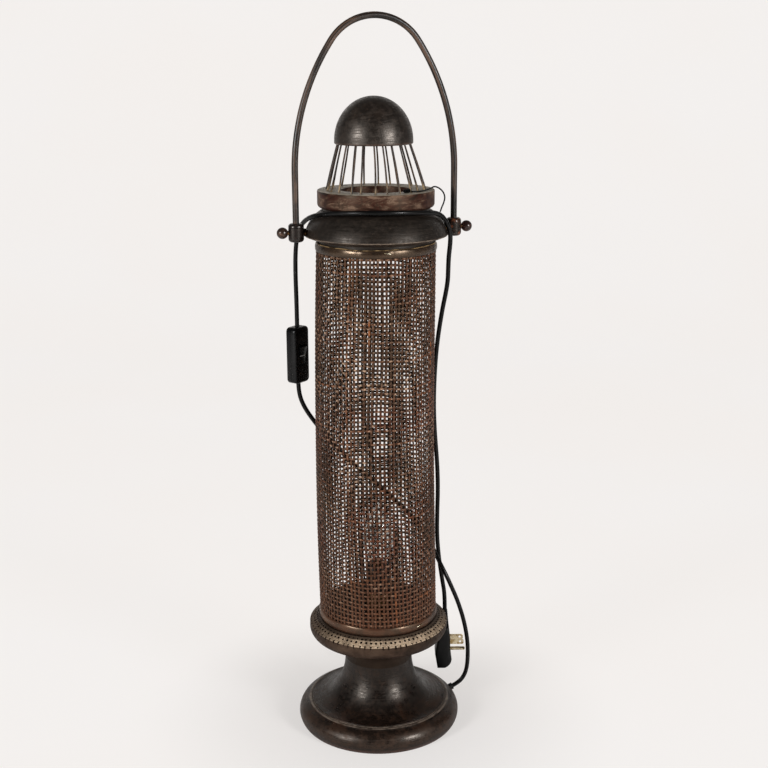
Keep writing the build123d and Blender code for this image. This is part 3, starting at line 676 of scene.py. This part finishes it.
def crown_rods_piece():
    rods = []
    for number in range(rod_count):
        outward, sideways = round_axes(tau * (number + draw.uniform(-0.2, 0.2)) / rod_count)
        sway = draw.uniform(-0.7, 0.7)
        foot = outward * rod_foot + upward * ring_top
        head = outward * rod_head + sideways * sway + upward * dome_base + crown_lean
        points = []
        radii = []
        for step in range(rod_steps):
            share = step / (rod_steps - 1)
            bow = sin(pi * share)
            points.append(foot.lerp(head, share) + (outward * rod_bow + sideways * sway) * bow)
            radii.append(rod_radius * (1.06 - 0.14 * share + draw.uniform(-0.05, 0.05)))
        rods.append(tube(points, radii))
    stand_for("crown_rods", "cage_rods", make_mesh(merge(rods), sharp=60), rod_cane(), "crown")


# Bail and pivots

pivot_height = 576.8
bail_half_width = 87.3
bail_radius = 3.5
bail_top = 798
bail_crown_radius = 56
bail_spring = 640
bail_end = 581.8
bail_sides = 16


def bail_line():
    """Points along the three-centred arch from the right leg to the left."""
    crown_centre = bail_top - bail_crown_radius
    drop = crown_centre - bail_spring
    radius_step = bail_half_width - bail_crown_radius
    side_radius = (bail_half_width**2 + drop**2 - bail_crown_radius**2) / (2 * radius_step)
    side_centre = bail_half_width - side_radius
    lean = atan2(drop, -side_centre)
    leg = [(bail_half_width, bail_end + (bail_spring - bail_end) * step / 12) for step in range(12)]
    side = ellipse((side_centre, bail_spring), side_radius, side_radius, 0, lean, 28)[:-1]
    crown = ellipse((0, crown_centre), bail_crown_radius, bail_crown_radius, lean, pi / 2 - lean, 24)
    half = leg + side + crown
    return half + [(-x, z) for x, z in half[-2::-1]]


def bail_piece():
    points = [Vector((x, 0, z)) for x, z in bail_line()]
    lengths = [(after - before).length for before, after in zip(points, points[1:])]
    travelled = np.cumsum([0] + lengths)
    radii = bail_radius * (0.982 - 0.018 * np.sin(travelled / 17) * np.sin(travelled / 41))
    mesh = make_mesh(tube(points, radii, bail_sides), sharp=60)
    turns = np.tile(np.arange(bail_sides) * tau / bail_sides, len(points))
    set_values(mesh, "along", np.repeat(travelled, bail_sides) * 0.02)
    set_values(mesh, "round_cos", np.cos(turns))
    set_values(mesh, "round_sin", np.sin(turns))
    stand_for("bail", "bail_rod", mesh, bent_rod(), "bail")


bore_radius = 2.6
ball_radius = 6.1
ball_centre = 102
pin_radius = 2.5
spacer_radius = 4.2
hub_tones = {"left": ((18, 12, 11), (38, 25, 22), 0.06), "right": ((17, 11, 9), (104, 56, 33), 0.10)}
ball_tones = {"left": ((38, 25, 19), (74, 50, 36), 0.14), "right": ((36, 19, 17), (76, 42, 36), 0.14)}

# A barrel with round shoulders and a fine line cut near each end
hub_line = [(8.3, 5.2), (8.05, 5.45), (8.3, 5.7)]
hub_half = hub_line + arc((8.3, 6), (7.6, 8.4), (6, 9.7), 6) + [(0, 9.7)]
hub_outline = [(radius, -height) for radius, height in hub_half[::-1]] + hub_half

# A ball with a blind hole for the pin
ball_start = (bore_radius, ball_centre - sqrt(ball_radius**2 - bore_radius**2))
ball_end = (0, ball_centre + ball_radius)
ball_curve = arc(ball_start, (ball_radius, ball_centre), ball_end, 22)
ball_outline = [(0, 100.7), (bore_radius, 100.7)] + ball_curve[:-1] + [ball_end]

# A pin with a spacer on it and a softened outer end
pin_outline = [(0, 63), (pin_radius, 63), (pin_radius, 77)]
pin_outline += [(4, 77), (spacer_radius, 77.3), (spacer_radius, 78.5), (4, 78.8)]
pin_outline += [(pin_radius, 78.8), (pin_radius, 100.3), (2.2, 100.5), (0, 100.5)]


def pivot_pieces():
    """Hubs, pins and ball finials at both ends of the pivot axis."""
    brass = metal("pivot_metal", (150, 110, 62), (58, 42, 28), 0.28, 0.7)
    for side, label in ((-1, "left"), (1, "right")):
        hub_wood = polished_knob(label + "_hub_wood", *hub_tones[label])
        ball_wood = polished_knob(label + "_finial_wood", *ball_tones[label])
        lie_down = Matrix.Translation((0, 0, pivot_height)) @ Matrix.Rotation(side * pi / 2, 4, "Y")
        stand = Matrix.Translation((side * bail_half_width, 0, pivot_height))
        pin = make_mesh(spin(pin_outline, 24), lie_down)
        stand_for("pivot_pin_" + label, "pin_" + label, pin, brass)
        ball = make_mesh(spin(ball_outline, 40), lie_down)
        stand_for("finial_" + label, "ball_" + label, ball, ball_wood)
        barrel = make_mesh(spin(hub_outline, 40), stand)
        drill = make_mesh(tube([(-12, 0, 0), (12, 0, 0)], bore_radius, 24), stand)
        stand_for("hub_" + label, "barrel_" + label, cut_away(barrel, drill), hub_wood, "bail")


# Woven cane shade

stake_count = 88
weave_rows = 81
weave_low = 141.5
weave_high = 556
row_pitch = (weave_high - weave_low) / weave_rows
stake_low = 131
stake_high = 567.6
stake_end = 563.5
stake_turn = -0.17
strand_width = 2.3
strand_thickness = 1.06
strand_section = np.array([(-0.5, 0), (-0.27, 0.5), (0.27, 0.5), (0.5, 0), (0.27, -0.5), (-0.27, -0.5)])
strand_across = strand_section[:, 0] * strand_width
strand_through = strand_section[:, 1] * strand_thickness
weave_swing = 0.54
steps_per_crossing = 2
shade_drift = 2.8
drift_direction = (-0.966, 0.259)


def shade_share(height):
    """How far up the shade a height is, from 0 to 1."""
    return (height - stake_low) / (stake_high - stake_low)


def shade_radius(height):
    """Middle of the weave: nearly straight below, drawn in towards the top."""
    share = shade_share(height)
    return 66 + 0.5 * share - 3 * share**2 + 0.2 * np.sin(share * 9)


def shade_axis(height):
    """Where the shade's axis stands, as the old weave bows to one side."""
    bow = shade_drift * np.sin(pi * shade_share(height))
    return bow * drift_direction[0], bow * drift_direction[1]


def row_wave(turns, heights):
    """How far the rows rise and sink together round the shade."""
    return 0.9 * np.sin(3 * turns + heights / 55) + 0.6 * np.sin(8 * turns - heights / 38 + 1)


def stake_wave(numbers, heights):
    """How far the stakes lean together, as a share of their spacing."""
    return 0.22 * np.sin(heights / 64 + 0.2 * numbers) + 0.10 * np.sin(heights / 31 - 0.5 * numbers)


def scatter(count, low, high):
    """A random amount for each strand."""
    return np.array([draw.uniform(low, high) for _ in range(count)])[:, None, None]


def strand_tones(count, positions, bright_share):
    """Tones along strands, a few of them with an orange stretch."""
    tones = np.zeros((count, positions.size))
    for strand in range(count):
        base = min(0.82, max(0.05, draw.gauss(0.45, 0.20)))
        tones[strand] = base
        if draw.random() < bright_share:
            centre = draw.uniform(positions[0], positions[-1])
            reach = draw.uniform(20, 70)
            stretch = np.exp(-(((positions - centre) / reach) ** 4))
            tones[strand] += stretch * (draw.uniform(0.88, 1) - base)
    return tones


def shade_mesh(points, ring, sharp):
    """Strands on the shade, from x, y and z for each strand, step and corner."""
    x, y, z = np.broadcast_arrays(*points)
    axis_x, axis_y = shade_axis(z)
    vertices = np.stack([x + axis_x, y + axis_y, z], axis=-1).reshape(-1, 3)
    return make_mesh((vertices.tolist(), strand_faces(*x.shape, ring)), sharp=sharp)


def add_strands(node, name, points, ring, tones, swing, cane):
    """One piece of many strands, with their tones and how far they stand out."""
    corners = len(strand_section)
    mesh = shade_mesh(points, ring, 80)
    set_values(mesh, "tone", np.repeat(tones.ravel(), corners))
    set_values(mesh, "crown", np.repeat(0.5 + 0.5 * swing.ravel() / weave_swing, corners))
    stand_for(node, name, mesh, cane)


def stake_piece():
    """Upright stakes."""
    steps = round((stake_end - stake_low) / row_pitch * steps_per_crossing) + 1
    levels = np.linspace(stake_low, stake_end, steps)
    heights = levels[None, :, None]
    numbers = np.arange(stake_count)[:, None, None]
    drift = scatter(stake_count, -0.13, 0.13)
    lean = scatter(stake_count, -0.10, 0.10)
    sway = drift + lean * np.sin(heights / 47 + numbers) + stake_wave(numbers, heights)
    turns = tau * (numbers + stake_turn + sway) / stake_count
    swing = weave_swing * np.cos(pi * (heights - weave_low) / row_pitch + pi * (numbers - 0.5))
    covered = (heights > weave_low) & (heights < weave_high)
    radial = shade_radius(heights) + np.where(covered, swing, 0) + strand_through
    x = radial * np.cos(turns) - strand_across * np.sin(turns)
    y = radial * np.sin(turns) + strand_across * np.cos(turns)
    tones = strand_tones(stake_count, levels, 0.14)
    cane = cane_skin("stake_cane", 0.18)
    add_strands("cane_stakes", "weave_stakes", (x, y, heights), False, tones, swing, cane)


def row_piece():
    """Rows that pass outside and inside the stakes in turn."""
    steps = stake_count * steps_per_crossing
    angles = tau * np.arange(steps) / steps
    turns = angles[None, :, None]
    numbers = np.arange(weave_rows)[:, None, None]
    drift = scatter(weave_rows, -0.30, 0.30)
    phase = scatter(weave_rows, 0, tau)
    wander = drift + 0.22 * np.sin(2 * turns + phase) + 0.12 * np.sin(5 * turns + 2 * phase)
    level = weave_low + (numbers + 0.5) * row_pitch
    free = np.clip(np.minimum(level - weave_low, weave_high - level) / 25, 0, 1)
    heights = level + wander + free * row_wave(turns, level)
    swing = -weave_swing * np.cos(stake_count / 2 * turns + pi * numbers)
    radial = shade_radius(heights) + swing + strand_through
    points = (radial * np.cos(turns), radial * np.sin(turns), heights + strand_across)
    tones = strand_tones(weave_rows, angles * shade_radius(stake_low), 0.10)
    cane = cane_skin("row_cane", 0.7)
    add_strands("cane_rows", "weave_rows", points, True, tones, swing, cane)


# Bands and staples

band_thickness = 2
band_inner = 0.1
band_steps = 176
band_lap = 0.45
band_lap_turn = 0.5
staple_wire = 0.42


def band_piece(node, name, low, high, wave, worn_edge, strip):
    """A lapped strip round the shade with slightly uneven edges."""
    lap_start = draw.uniform(0, tau)
    bulge = np.linspace(-1.45, 1.45, 13)
    depth = np.array([0, *np.cos(bulge) ** 0.8, 0])
    share = np.array([0, *(0.5 + 0.5 * np.sin(bulge)), 1])
    turns = tau * np.arange(band_steps)[None, :, None] / band_steps
    lap = np.where((turns - lap_start) % tau < band_lap_turn, band_lap, 0)
    shift = wave * (np.sin(3 * turns + lap_start) + 0.6 * np.sin(7 * turns) + 0.5 * np.sin(13 * turns + 1))
    heights = low + share * (high - low + shift)
    radial = shade_radius(heights) + band_inner + depth * band_thickness + np.where(depth > 0, lap, 0)
    mesh = shade_mesh((radial * np.cos(turns), radial * np.sin(turns), heights), True, 40)
    set_values(mesh, "edge", np.tile(np.where(share > 0.93, worn_edge, 0), band_steps))
    # Painted shade along the lower part of the band, darkest at its bottom edge.
    set_values(mesh, "grime_and_shade", np.tile(np.maximum(0, 0.9 - 2.2 * share), band_steps))
    stand_for(node, name, mesh, strip)


def staple_shape(turn, height, length, tilt):
    """A bent wire staple whose two ends go into the band."""
    outward, sideways = round_axes(radians(turn))
    along = sideways * cos(radians(tilt)) + upward * sin(radians(tilt))
    face = shade_radius(height) + band_inner + band_thickness
    middle = outward * face + Vector((*shade_axis(height), height))
    reach = length / 2
    half = [(reach - 0.35, 0.45), (reach, 0.1), (reach, -0.9)]
    path = [(-way, lift) for way, lift in half[::-1]] + half
    points = [middle + along * way + outward * lift for way, lift in path]
    return tube(points, staple_wire)


def band_pieces():
    lower_strip = varnished_strip("lower_strip", ((30, 16, 11), (64, 36, 24), (84, 57, 38)), 0.26)
    upper_strip = varnished_strip("upper_strip", ((16, 10, 7), (34, 22, 15), (52, 38, 26)), 0.20)
    band_piece("bottom_band", "lower_band", 131.1, 141.6, 0.20, 0, lower_strip)
    band_piece("top_band", "upper_band", 554.8, 564.2, 0.30, 1, upper_strip)
    wire = metal("staple_metal", (232, 224, 198), (172, 156, 116), 0.25, 0.3)
    staples = merge([staple_shape(-94, 560.6, 7, -8), staple_shape(-61, 137.2, 8, 6)])
    stand_for("band_staples", "band_wires", make_mesh(staples, sharp=60), wire)


# Cords, in the order in which the current flows

cord_radius = 2.5
switch_route = [
    (94.14, 8.236, 18.145), (102.565, 8.973, 21.223), (109, 8.8, 28.6), (111.8, 6.6, 39.6),
    (111, 0.5, 58), (107, -9, 86), (101, -11, 114), (93.5, -10.5, 138),
    (85.2, -9.3, 158.5), (79.2, -6, 173), (74.4, 1, 184.5), (71, 10.5, 195),
    (67, 25, 207.5), (55.6, 46.6, 224), (34.4, 63.8, 246), (6, 72.6, 273),
    (-21.3, 70.2, 301), (-43.2, 60.9, 328), (-61, 52.5, 352), (-73, 48.8, 371),
    (-79, 49, 388), (-79, 49, 401),
]
plug_route = [
    (-79, 49, 465), (-79, 49, 493), (-79.4, 49.8, 521), (-79.4, 47.5, 549),
    (-78.2, 41, 568), (-76.4, 28, 581), (-73, 12, 589.4), (-68, -7.4, 595.4),
    (-56.8, -31.2, 599.6), (-37, -55.4, 602), (-9.2, -66.3, 602.4), (18.6, -64, 601.4),
    (42.4, -49.8, 599.4), (56.6, -37.4, 596.8), (65.4, -31, 591.8), (70.9, -28.7, 584),
    (74.5, -28.8, 574), (75, -27, 562), (74.9, -22.4, 548.5), (76, -17.5, 533.6),
    (77.2, -13, 520.1), (76.6, -8.5, 506.1), (74.9, -3.5, 489.6), (73.2, 1, 470.7),
    (71.5, 5.5, 448.2), (70.3, 8.5, 424.6), (69.7, 11, 396.1), (69.6, 11.5, 366.5),
    (71, 10.5, 335.7), (73.5, 9.5, 304.5), (74.7, 9.5, 272.7), (75, 13, 240.4),
    (76.4, 17.5, 209.9), (79.4, 18.5, 181), (82.4, 15.5, 156.5), (84.5, 10.5, 137.5),
    (84.5, 10.5, 119),
]
tie_radius = 0.8
tie_route = [
    (25.1, -47.7, 621.6), (31.4, -48.6, 620.9), (40.4, -40.4, 620.9), (48.4, -30.4, 620.9),
    (56.6, -17.5, 621.2), (62, -10.6, 621.9), (67.2, -9, 620.2), (71.1, -12, 616.5),
    (71.9, -17.5, 610.9), (67.9, -24.5, 605.2), (63.5, -30.5, 600.8), (61.2, -34.6, 597.9),
]


def cord_piece(node, name, route, radius, material, body="root"):
    """A round cord whose spline has the route as control points."""
    curve = bpy.data.curves.new(name, "CURVE")
    curve.dimensions = "3D"
    spline = curve.splines.new("NURBS")
    spline.points.add(len(route) - 1)
    for point, place in zip(spline.points, route):
        point.co = (*(Vector(place) * mm), 1)
    spline.order_u = 3
    spline.use_endpoint_u = True
    spline.resolution_u = 8
    curve.bevel_depth = radius * mm
    curve.bevel_resolution = 5
    curve.use_fill_caps = True
    return stand_for(node, name, curve, material, body)


knot_turn = radians(292.5)
knot_circle = 52.7
knot_coils = 3.5
knot_steps = 72
knot_length = 7.2
knot_coil_radius = 1.45
knot_gap = 0.05


def knot_piece(material):
    """The tie's knot on the crown ring: close coils of wire round its own end."""
    outward, sideways = round_axes(knot_turn)
    rise = ring_top + knot_coil_radius + tie_radius + knot_gap
    centre = outward * knot_circle + upward * rise
    coil = []
    for step in range(knot_steps + 1):
        share = step / knot_steps
        turn = tau * knot_coils * share
        way = knot_length * (share - 0.5)
        coil.append(centre + sideways * way + (outward * cos(turn) + upward * sin(turn)) * knot_coil_radius)
    core = [centre + sideways * way for way in (-4.4, -2, 2, 4.4)]
    shape = merge([tube(line, tie_radius) for line in (coil, core)])
    stand_for("tie_knot", "tie_coil", make_mesh(shape, sharp=60), material, "crown")


def local_frame(centre, x_axis, y_axis, z_axis):
    """Matrix from a piece's own frame, given by its centre and axes."""
    return Matrix.Translation(centre) @ Matrix((x_axis, y_axis, z_axis)).transposed().to_4x4()


# Inline switch, in its own frame: X across it, Y along it, Z out of its face

switch_centre = Vector((-79, 49, 433))
switch_facing = radians(-50)
switch_size = (24.5, 64)
switch_corner = 5
switch_back = [(-7, 1.9), (-6.7, 1.1), (-6.1, 0.4), (-5.2, 0), (-0.35, 0), (0, 0.35)]
switch_front = [(0, 0.35), (0.35, 0), (5, 0), (6, 0.35), (6.7, 1.1), (7, 2)]
rocker_width = 11.6
rocker_half_length = 10.5
rocker_height = 4
rocker_tilt = radians(8)


def rounded_rectangle(width, length, corner, inset, height):
    """Points round a rectangle with round corners, drawn in by an inset."""
    radius = max(corner - inset, 0.3)
    across = width / 2 - inset - radius
    along = length / 2 - inset - radius
    points = []
    for quarter, (side, end) in enumerate(((1, 1), (-1, 1), (-1, -1), (1, -1))):
        points += ellipse((side * across, end * along), radius, radius, quarter * pi / 2, pi / 2, 6)
    return [Vector((x, y, height)) for x, y in points]


def slab(width, length, corner, layers):
    """A rounded slab, built up from layers of (height, inset)."""
    return loft([rounded_rectangle(width, length, corner, inset, height) for height, inset in layers])


def rocker_shape():
    """A rocker with a hollow face and softened sides."""
    half = rocker_half_length
    outline = [(-half, -3.3), (half, -3.3)] + arc((half, 4.4), (0, 3.1), (-half, 4.4), 14)
    rings = []
    for shift, inset in ((-1, 0.5), (-0.9, 0), (0.9, 0), (1, 0.5)):
        x = shift * rocker_width / 2
        rings.append([Vector((x, y * (1 - inset / half), z - inset * 0.6)) for y, z in outline])
    return loft(rings)


def switch_pieces():
    out, across = round_axes(switch_facing)
    place = local_frame(switch_centre, across, upward, out)
    black = moulding("switch_plastic", (6, 6, 7), 0.22)
    pocket = make_mesh(slab(13.2, 23.4, 0.8, [(-3.4, 0), (9, 0)]), place)
    halves = [("switch_back", "switch_base", switch_back), ("switch_front", "switch_cover", switch_front)]
    pieces = []
    for name, node, layers in halves:
        half = make_mesh(slab(*switch_size, switch_corner, layers), place)
        pieces.append(stand_for(node, name, cut_away(half, pocket.copy()), black))

    body = rocker_shape()
    ridge = slab(8.4, 1.1, 0.5, [(2.8, 0), (3.45, 0), (3.6, 0.2)])
    tilt = Matrix.Translation((0, 0, rocker_height)) @ Matrix.Rotation(rocker_tilt, 4, "X")
    key = make_mesh(merge([body, ridge]), place @ tilt)
    key_plastic = moulding("key_plastic", (11, 11, 12), 0.26)
    pieces.append(stand_for("switch_rocker", "switch_key", key, key_plastic, "rocker"))
    key.materials.append(moulding("ridge_plastic", (176, 176, 174), 0.36))
    for polygon in list(key.polygons)[len(body[1]):]:
        polygon.material_index = 1
    return pieces


# Plug, in its own frame: X along the blades, Y up, Z across the body

plug_centre = Vector((84.5, 10.5, 75))
plug_facing = radians(-15)
plug_half_layers = [(9.8, 0), (11.3, 0.7), (12.2, 1.8), (12.5, 3)]
blade_sides = (-6.35, 6.35)
blade_rise = 5
blade_root = 5.9
blade_reach = 22.5
blade_half_width = 3.175
blade_clip = 1.4
blade_hole = 18.5
blade_hole_radius = 1.5
relief_start = 26
relief_pitch = 3.4
relief_radius = 4.6


def draw_in(outline, distance):
    """The outline moved inwards by a distance, corner by corner."""
    moved = []
    for number in range(len(outline)):
        before, here, after = (Vector(outline[(number + k) % len(outline)]) for k in (-1, 0, 1))
        first = (here - before).normalized()
        second = (after - here).normalized()
        inward = Vector((-(first.y + second.y), first.x + second.x)).normalized()
        stretch = max(0.4, inward.dot(Vector((-first.y, first.x))))
        moved.append(here + inward * distance / stretch)
    return moved


def plate(outline, layers):
    """A flat shape with bevelled edges, built up from layers of (depth, inset)."""
    return loft([[Vector((*point, depth)) for point in draw_in(outline, inset)] for depth, inset in layers])


def blade_shape(side):
    """One flat blade with clipped corners, to one side of the plug's middle."""
    low, high = blade_rise - blade_half_width, blade_rise + blade_half_width
    shoulder = blade_reach - blade_clip
    outline = [(blade_root, low), (shoulder, low), (blade_reach, low + blade_clip)]
    outline += [(blade_reach, high - blade_clip), (shoulder, high), (blade_root, high)]
    return plate(outline, [(side - 0.75, 0.18), (side - 0.57, 0), (side + 0.57, 0), (side + 0.75, 0.18)])


def relief_outline():
    """A tapering sleeve with five ribs."""
    outline = [(0, relief_start), (relief_radius, relief_start)]
    for rib in range(5):
        low = relief_start + relief_pitch * rib
        thick = relief_radius - 0.3 * rib
        outline += [(thick, low + 0.2), (thick - 0.1, low + 2.2)]
        outline += [(thick - 0.9, low + 2.4), (thick - 0.9, low + 3.2)]
    return outline + [(3.1, 43.2), (3, 44), (0, 44)]


def plug_pieces():
    forward, sideways = round_axes(plug_facing)
    place = local_frame(plug_centre, forward, upward, -sideways)
    black = moulding("plug_plastic", (4, 4, 4), 0.36)
    brass = metal("blade_metal", (232, 216, 182), (176, 146, 98), 0.24, 0.3)
    rubber = sheath("sleeve_rubber", (15, 15, 16), 0.5)

    face = [(6.5, -10), (6.5, 10), (4.6, 26), (-4.6, 26)]
    back = arc((-4.6, 26), (-8.5, 10), (-11.5, -10), 8)[1:]
    grip = [(-8.5, -28), (0.5, -28)] + arc((0.5, -28), (5, -25), (6.5, -10), 6)[1:-1]
    layers = [(-depth, inset) for depth, inset in plug_half_layers[::-1]] + plug_half_layers
    case = make_mesh(plate(face + back + grip, layers), place)

    holes = []
    for side in blade_sides:
        ends = [(blade_hole, blade_rise, side - 2), (blade_hole, blade_rise, side + 2)]
        holes.append(tube(ends, blade_hole_radius, 16))
    blades = make_mesh(merge([blade_shape(side) for side in blade_sides]), place)
    prongs = cut_away(blades, make_mesh(merge(holes), place))

    pin_end = arc((2.1, 23), (1.6, 24.1), (0.6, 24.5), 4) + [(0, 24.5)]
    lie = Matrix.Translation((0, -6.9, 0)) @ Matrix.Rotation(pi / 2, 4, "Y")
    pin = make_mesh(spin([(0, blade_root), (2.1, blade_root)] + pin_end, 24), place @ lie)

    stand = Matrix.Rotation(-pi / 2, 4, "X")
    sleeve = make_mesh(spin(relief_outline(), 28), place @ stand)
    return [
        stand_for("plug_body", "plug_case", case, black),
        stand_for("plug_blades", "plug_prongs", prongs, brass),
        stand_for("plug_earth_pin", "plug_pin", pin, brass),
        stand_for("plug_relief", "plug_sleeve", sleeve, rubber),
    ]


# Kept pieces of the frame


def dress_frame_pieces():
    """Materials for the pieces that keep the shape they have in the frame."""
    brass = metal("lamp_metal", (150, 118, 70), (84, 62, 36), 0.34)
    steel = metal("small_metal", (190, 190, 188), (130, 128, 124), 0.3)
    finishes = {
        **dict.fromkeys(("nipple", "nipple_nut", "holder_cap", "bulb_cap"), brass),
        **dict.fromkeys(("rocker_pin", "switch_screws"), steel),
        "holder_sleeve": moulding("holder_plastic", (22, 21, 21), 0.34),
        "bulb_glass": clear_glass(),
        "inner_flex": sheath("inner_sheath", (13, 13, 14), 0.36),
        "cord_bush": sheath("bush_rubber", (15, 15, 16), 0.55),
    }
    for node, material in finishes.items():
        for holder_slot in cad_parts[node].material_slots:
            holder_slot.material = material


# Studio

floor_front = 3600
floor_depth = 3000
floor_half_width = 4200
wall_height = 3200
wall_bend = 1200
floor_glow = 0.56
wall_glow = 0.9
paper_glow = 1.04
room_tint = (1, 0.995, 0.985, 1)
room_light = 0.2
room_gloss = 0.08
room_white = 0.88

# Soft lights, in metres and watts
softbox_angle = 48
softbox_distance = 3.4
softbox_height = 1.32
softbox_width = 0.8
softbox_length = 1.2
softbox_watts = 84
softbox_aim = Vector((0, 0, 0.45))


def make_backdrop():
    """A pale floor that curves up into a wall behind the object."""
    bend_centre = (floor_depth - wall_bend, wall_bend)
    profile = [(-floor_front, 0)] + ellipse(bend_centre, wall_bend, wall_bend, -pi / 2, pi / 2, 24)
    profile.append((floor_depth, wall_height))
    vertices = [(side * floor_half_width, y, z) for y, z in profile for side in (-1, 1)]
    faces = [(2 * k, 2 * k + 1, 2 * k + 3, 2 * k + 2) for k in range(len(profile) - 1)]
    mesh = make_mesh((vertices, faces), Matrix.Rotation(radians(camera_turn), 4, "Z"), sharp=80)
    paint = Paint("backdrop_paper", 0.1)
    pale = paint.mix(paint.span(paint.noise(1.4, detail=2), 0.3, 0.7), (243, 239, 236), (243, 240, 238))
    paint.put("Base Color", pale)
    paint.put("Roughness", 0.9)
    glow = paint.node("ShaderNodeEmission", {"Color": pale, "Strength": paper_glow}).outputs[0]
    share = paint.times(paint.seen(), paint.span(paint.radius(), 90, 300, floor_glow, wall_glow))
    blend = paint.node("ShaderNodeMixShader", {0: share, 1: paint.shader.outputs[0], 2: glow})
    paint.feed(paint.tree.nodes["Material Output"].inputs["Surface"], blend.outputs[0])
    mesh.materials.append(paint.material)
    floor = add_object("backdrop", mesh)


def make_world():
    """Dim, even room light that is as pale as the backdrop where it is seen."""
    world = bpy.data.worlds.new("room")
    bpy.context.scene.world = world
    world.use_nodes = True
    room = Nodes(world.node_tree)
    glossy = room.node("ShaderNodeLightPath").outputs["Is Glossy Ray"]
    light = room.span(glossy, 0, 1, room_light, room_gloss)
    background = room.tree.nodes["Background"].inputs
    background["Color"].default_value = room_tint
    room.feed(background["Strength"], room.span(room.seen(), 0, 1, light, room_white))


def add_softbox(azimuth):
    """A soft light that faces the middle of the object."""
    lamp = bpy.data.lights.new("softbox", "AREA")
    lamp.shape = "RECTANGLE"
    lamp.size = softbox_width
    lamp.size_y = softbox_length
    lamp.energy = softbox_watts
    box = add_object("softbox", lamp)
    turn = radians(azimuth)
    box.location = (softbox_distance * sin(turn), -softbox_distance * cos(turn), softbox_height)
    box.rotation_euler = (softbox_aim - box.location).to_track_quat("-Z", "Y").to_euler()
    box.visible_camera = False


def make_camera():
    lens = bpy.data.cameras.new("photo_view")
    lens.lens = camera_focal
    lens.sensor_width = camera_sensor
    lens.clip_end = 50
    camera = add_object("photo_view", lens)
    turn = Matrix.Rotation(radians(camera_turn), 4, "Z")
    pitch = Matrix.Rotation(radians(90 - camera_pitch), 4, "X")
    roll = Matrix.Rotation(radians(camera_roll), 4, "Z")
    camera.matrix_world = Matrix.Translation(Vector(camera_place) * mm) @ turn @ pitch @ roll
    bpy.context.scene.camera = camera


make_camera()

cord_sheath = sheath("cord_sheath", (6, 6, 6), 0.3)
tie_sheath = sheath("tie_sheath", (3, 3, 3), 0.42, 0.12)
cord_up = cord_piece("cord_to_switch", "cord_up", switch_route, cord_radius, cord_sheath)
cord_down = cord_piece("cord_to_plug", "cord_down", plug_route, cord_radius, cord_sheath)
tie = cord_piece("cord_tie", "tie_wire", tie_route, tie_radius, tie_sheath, "crown")
knot_piece(tie_sheath)
switch_parts = switch_pieces()
plug_parts = plug_pieces()

foot_piece()
gallery_piece()
stake_piece()
row_piece()
band_pieces()
collar_piece()
pivot_pieces()
bail_piece()
crown_ring_piece()
crown_rods_piece()
dome_piece()
dress_frame_pieces()
make_backdrop()
make_world()
for side in (-1, 1):
    add_softbox(camera_turn + softbox_angle * side)

bpy.context.scene.view_settings.view_transform = "Standard"
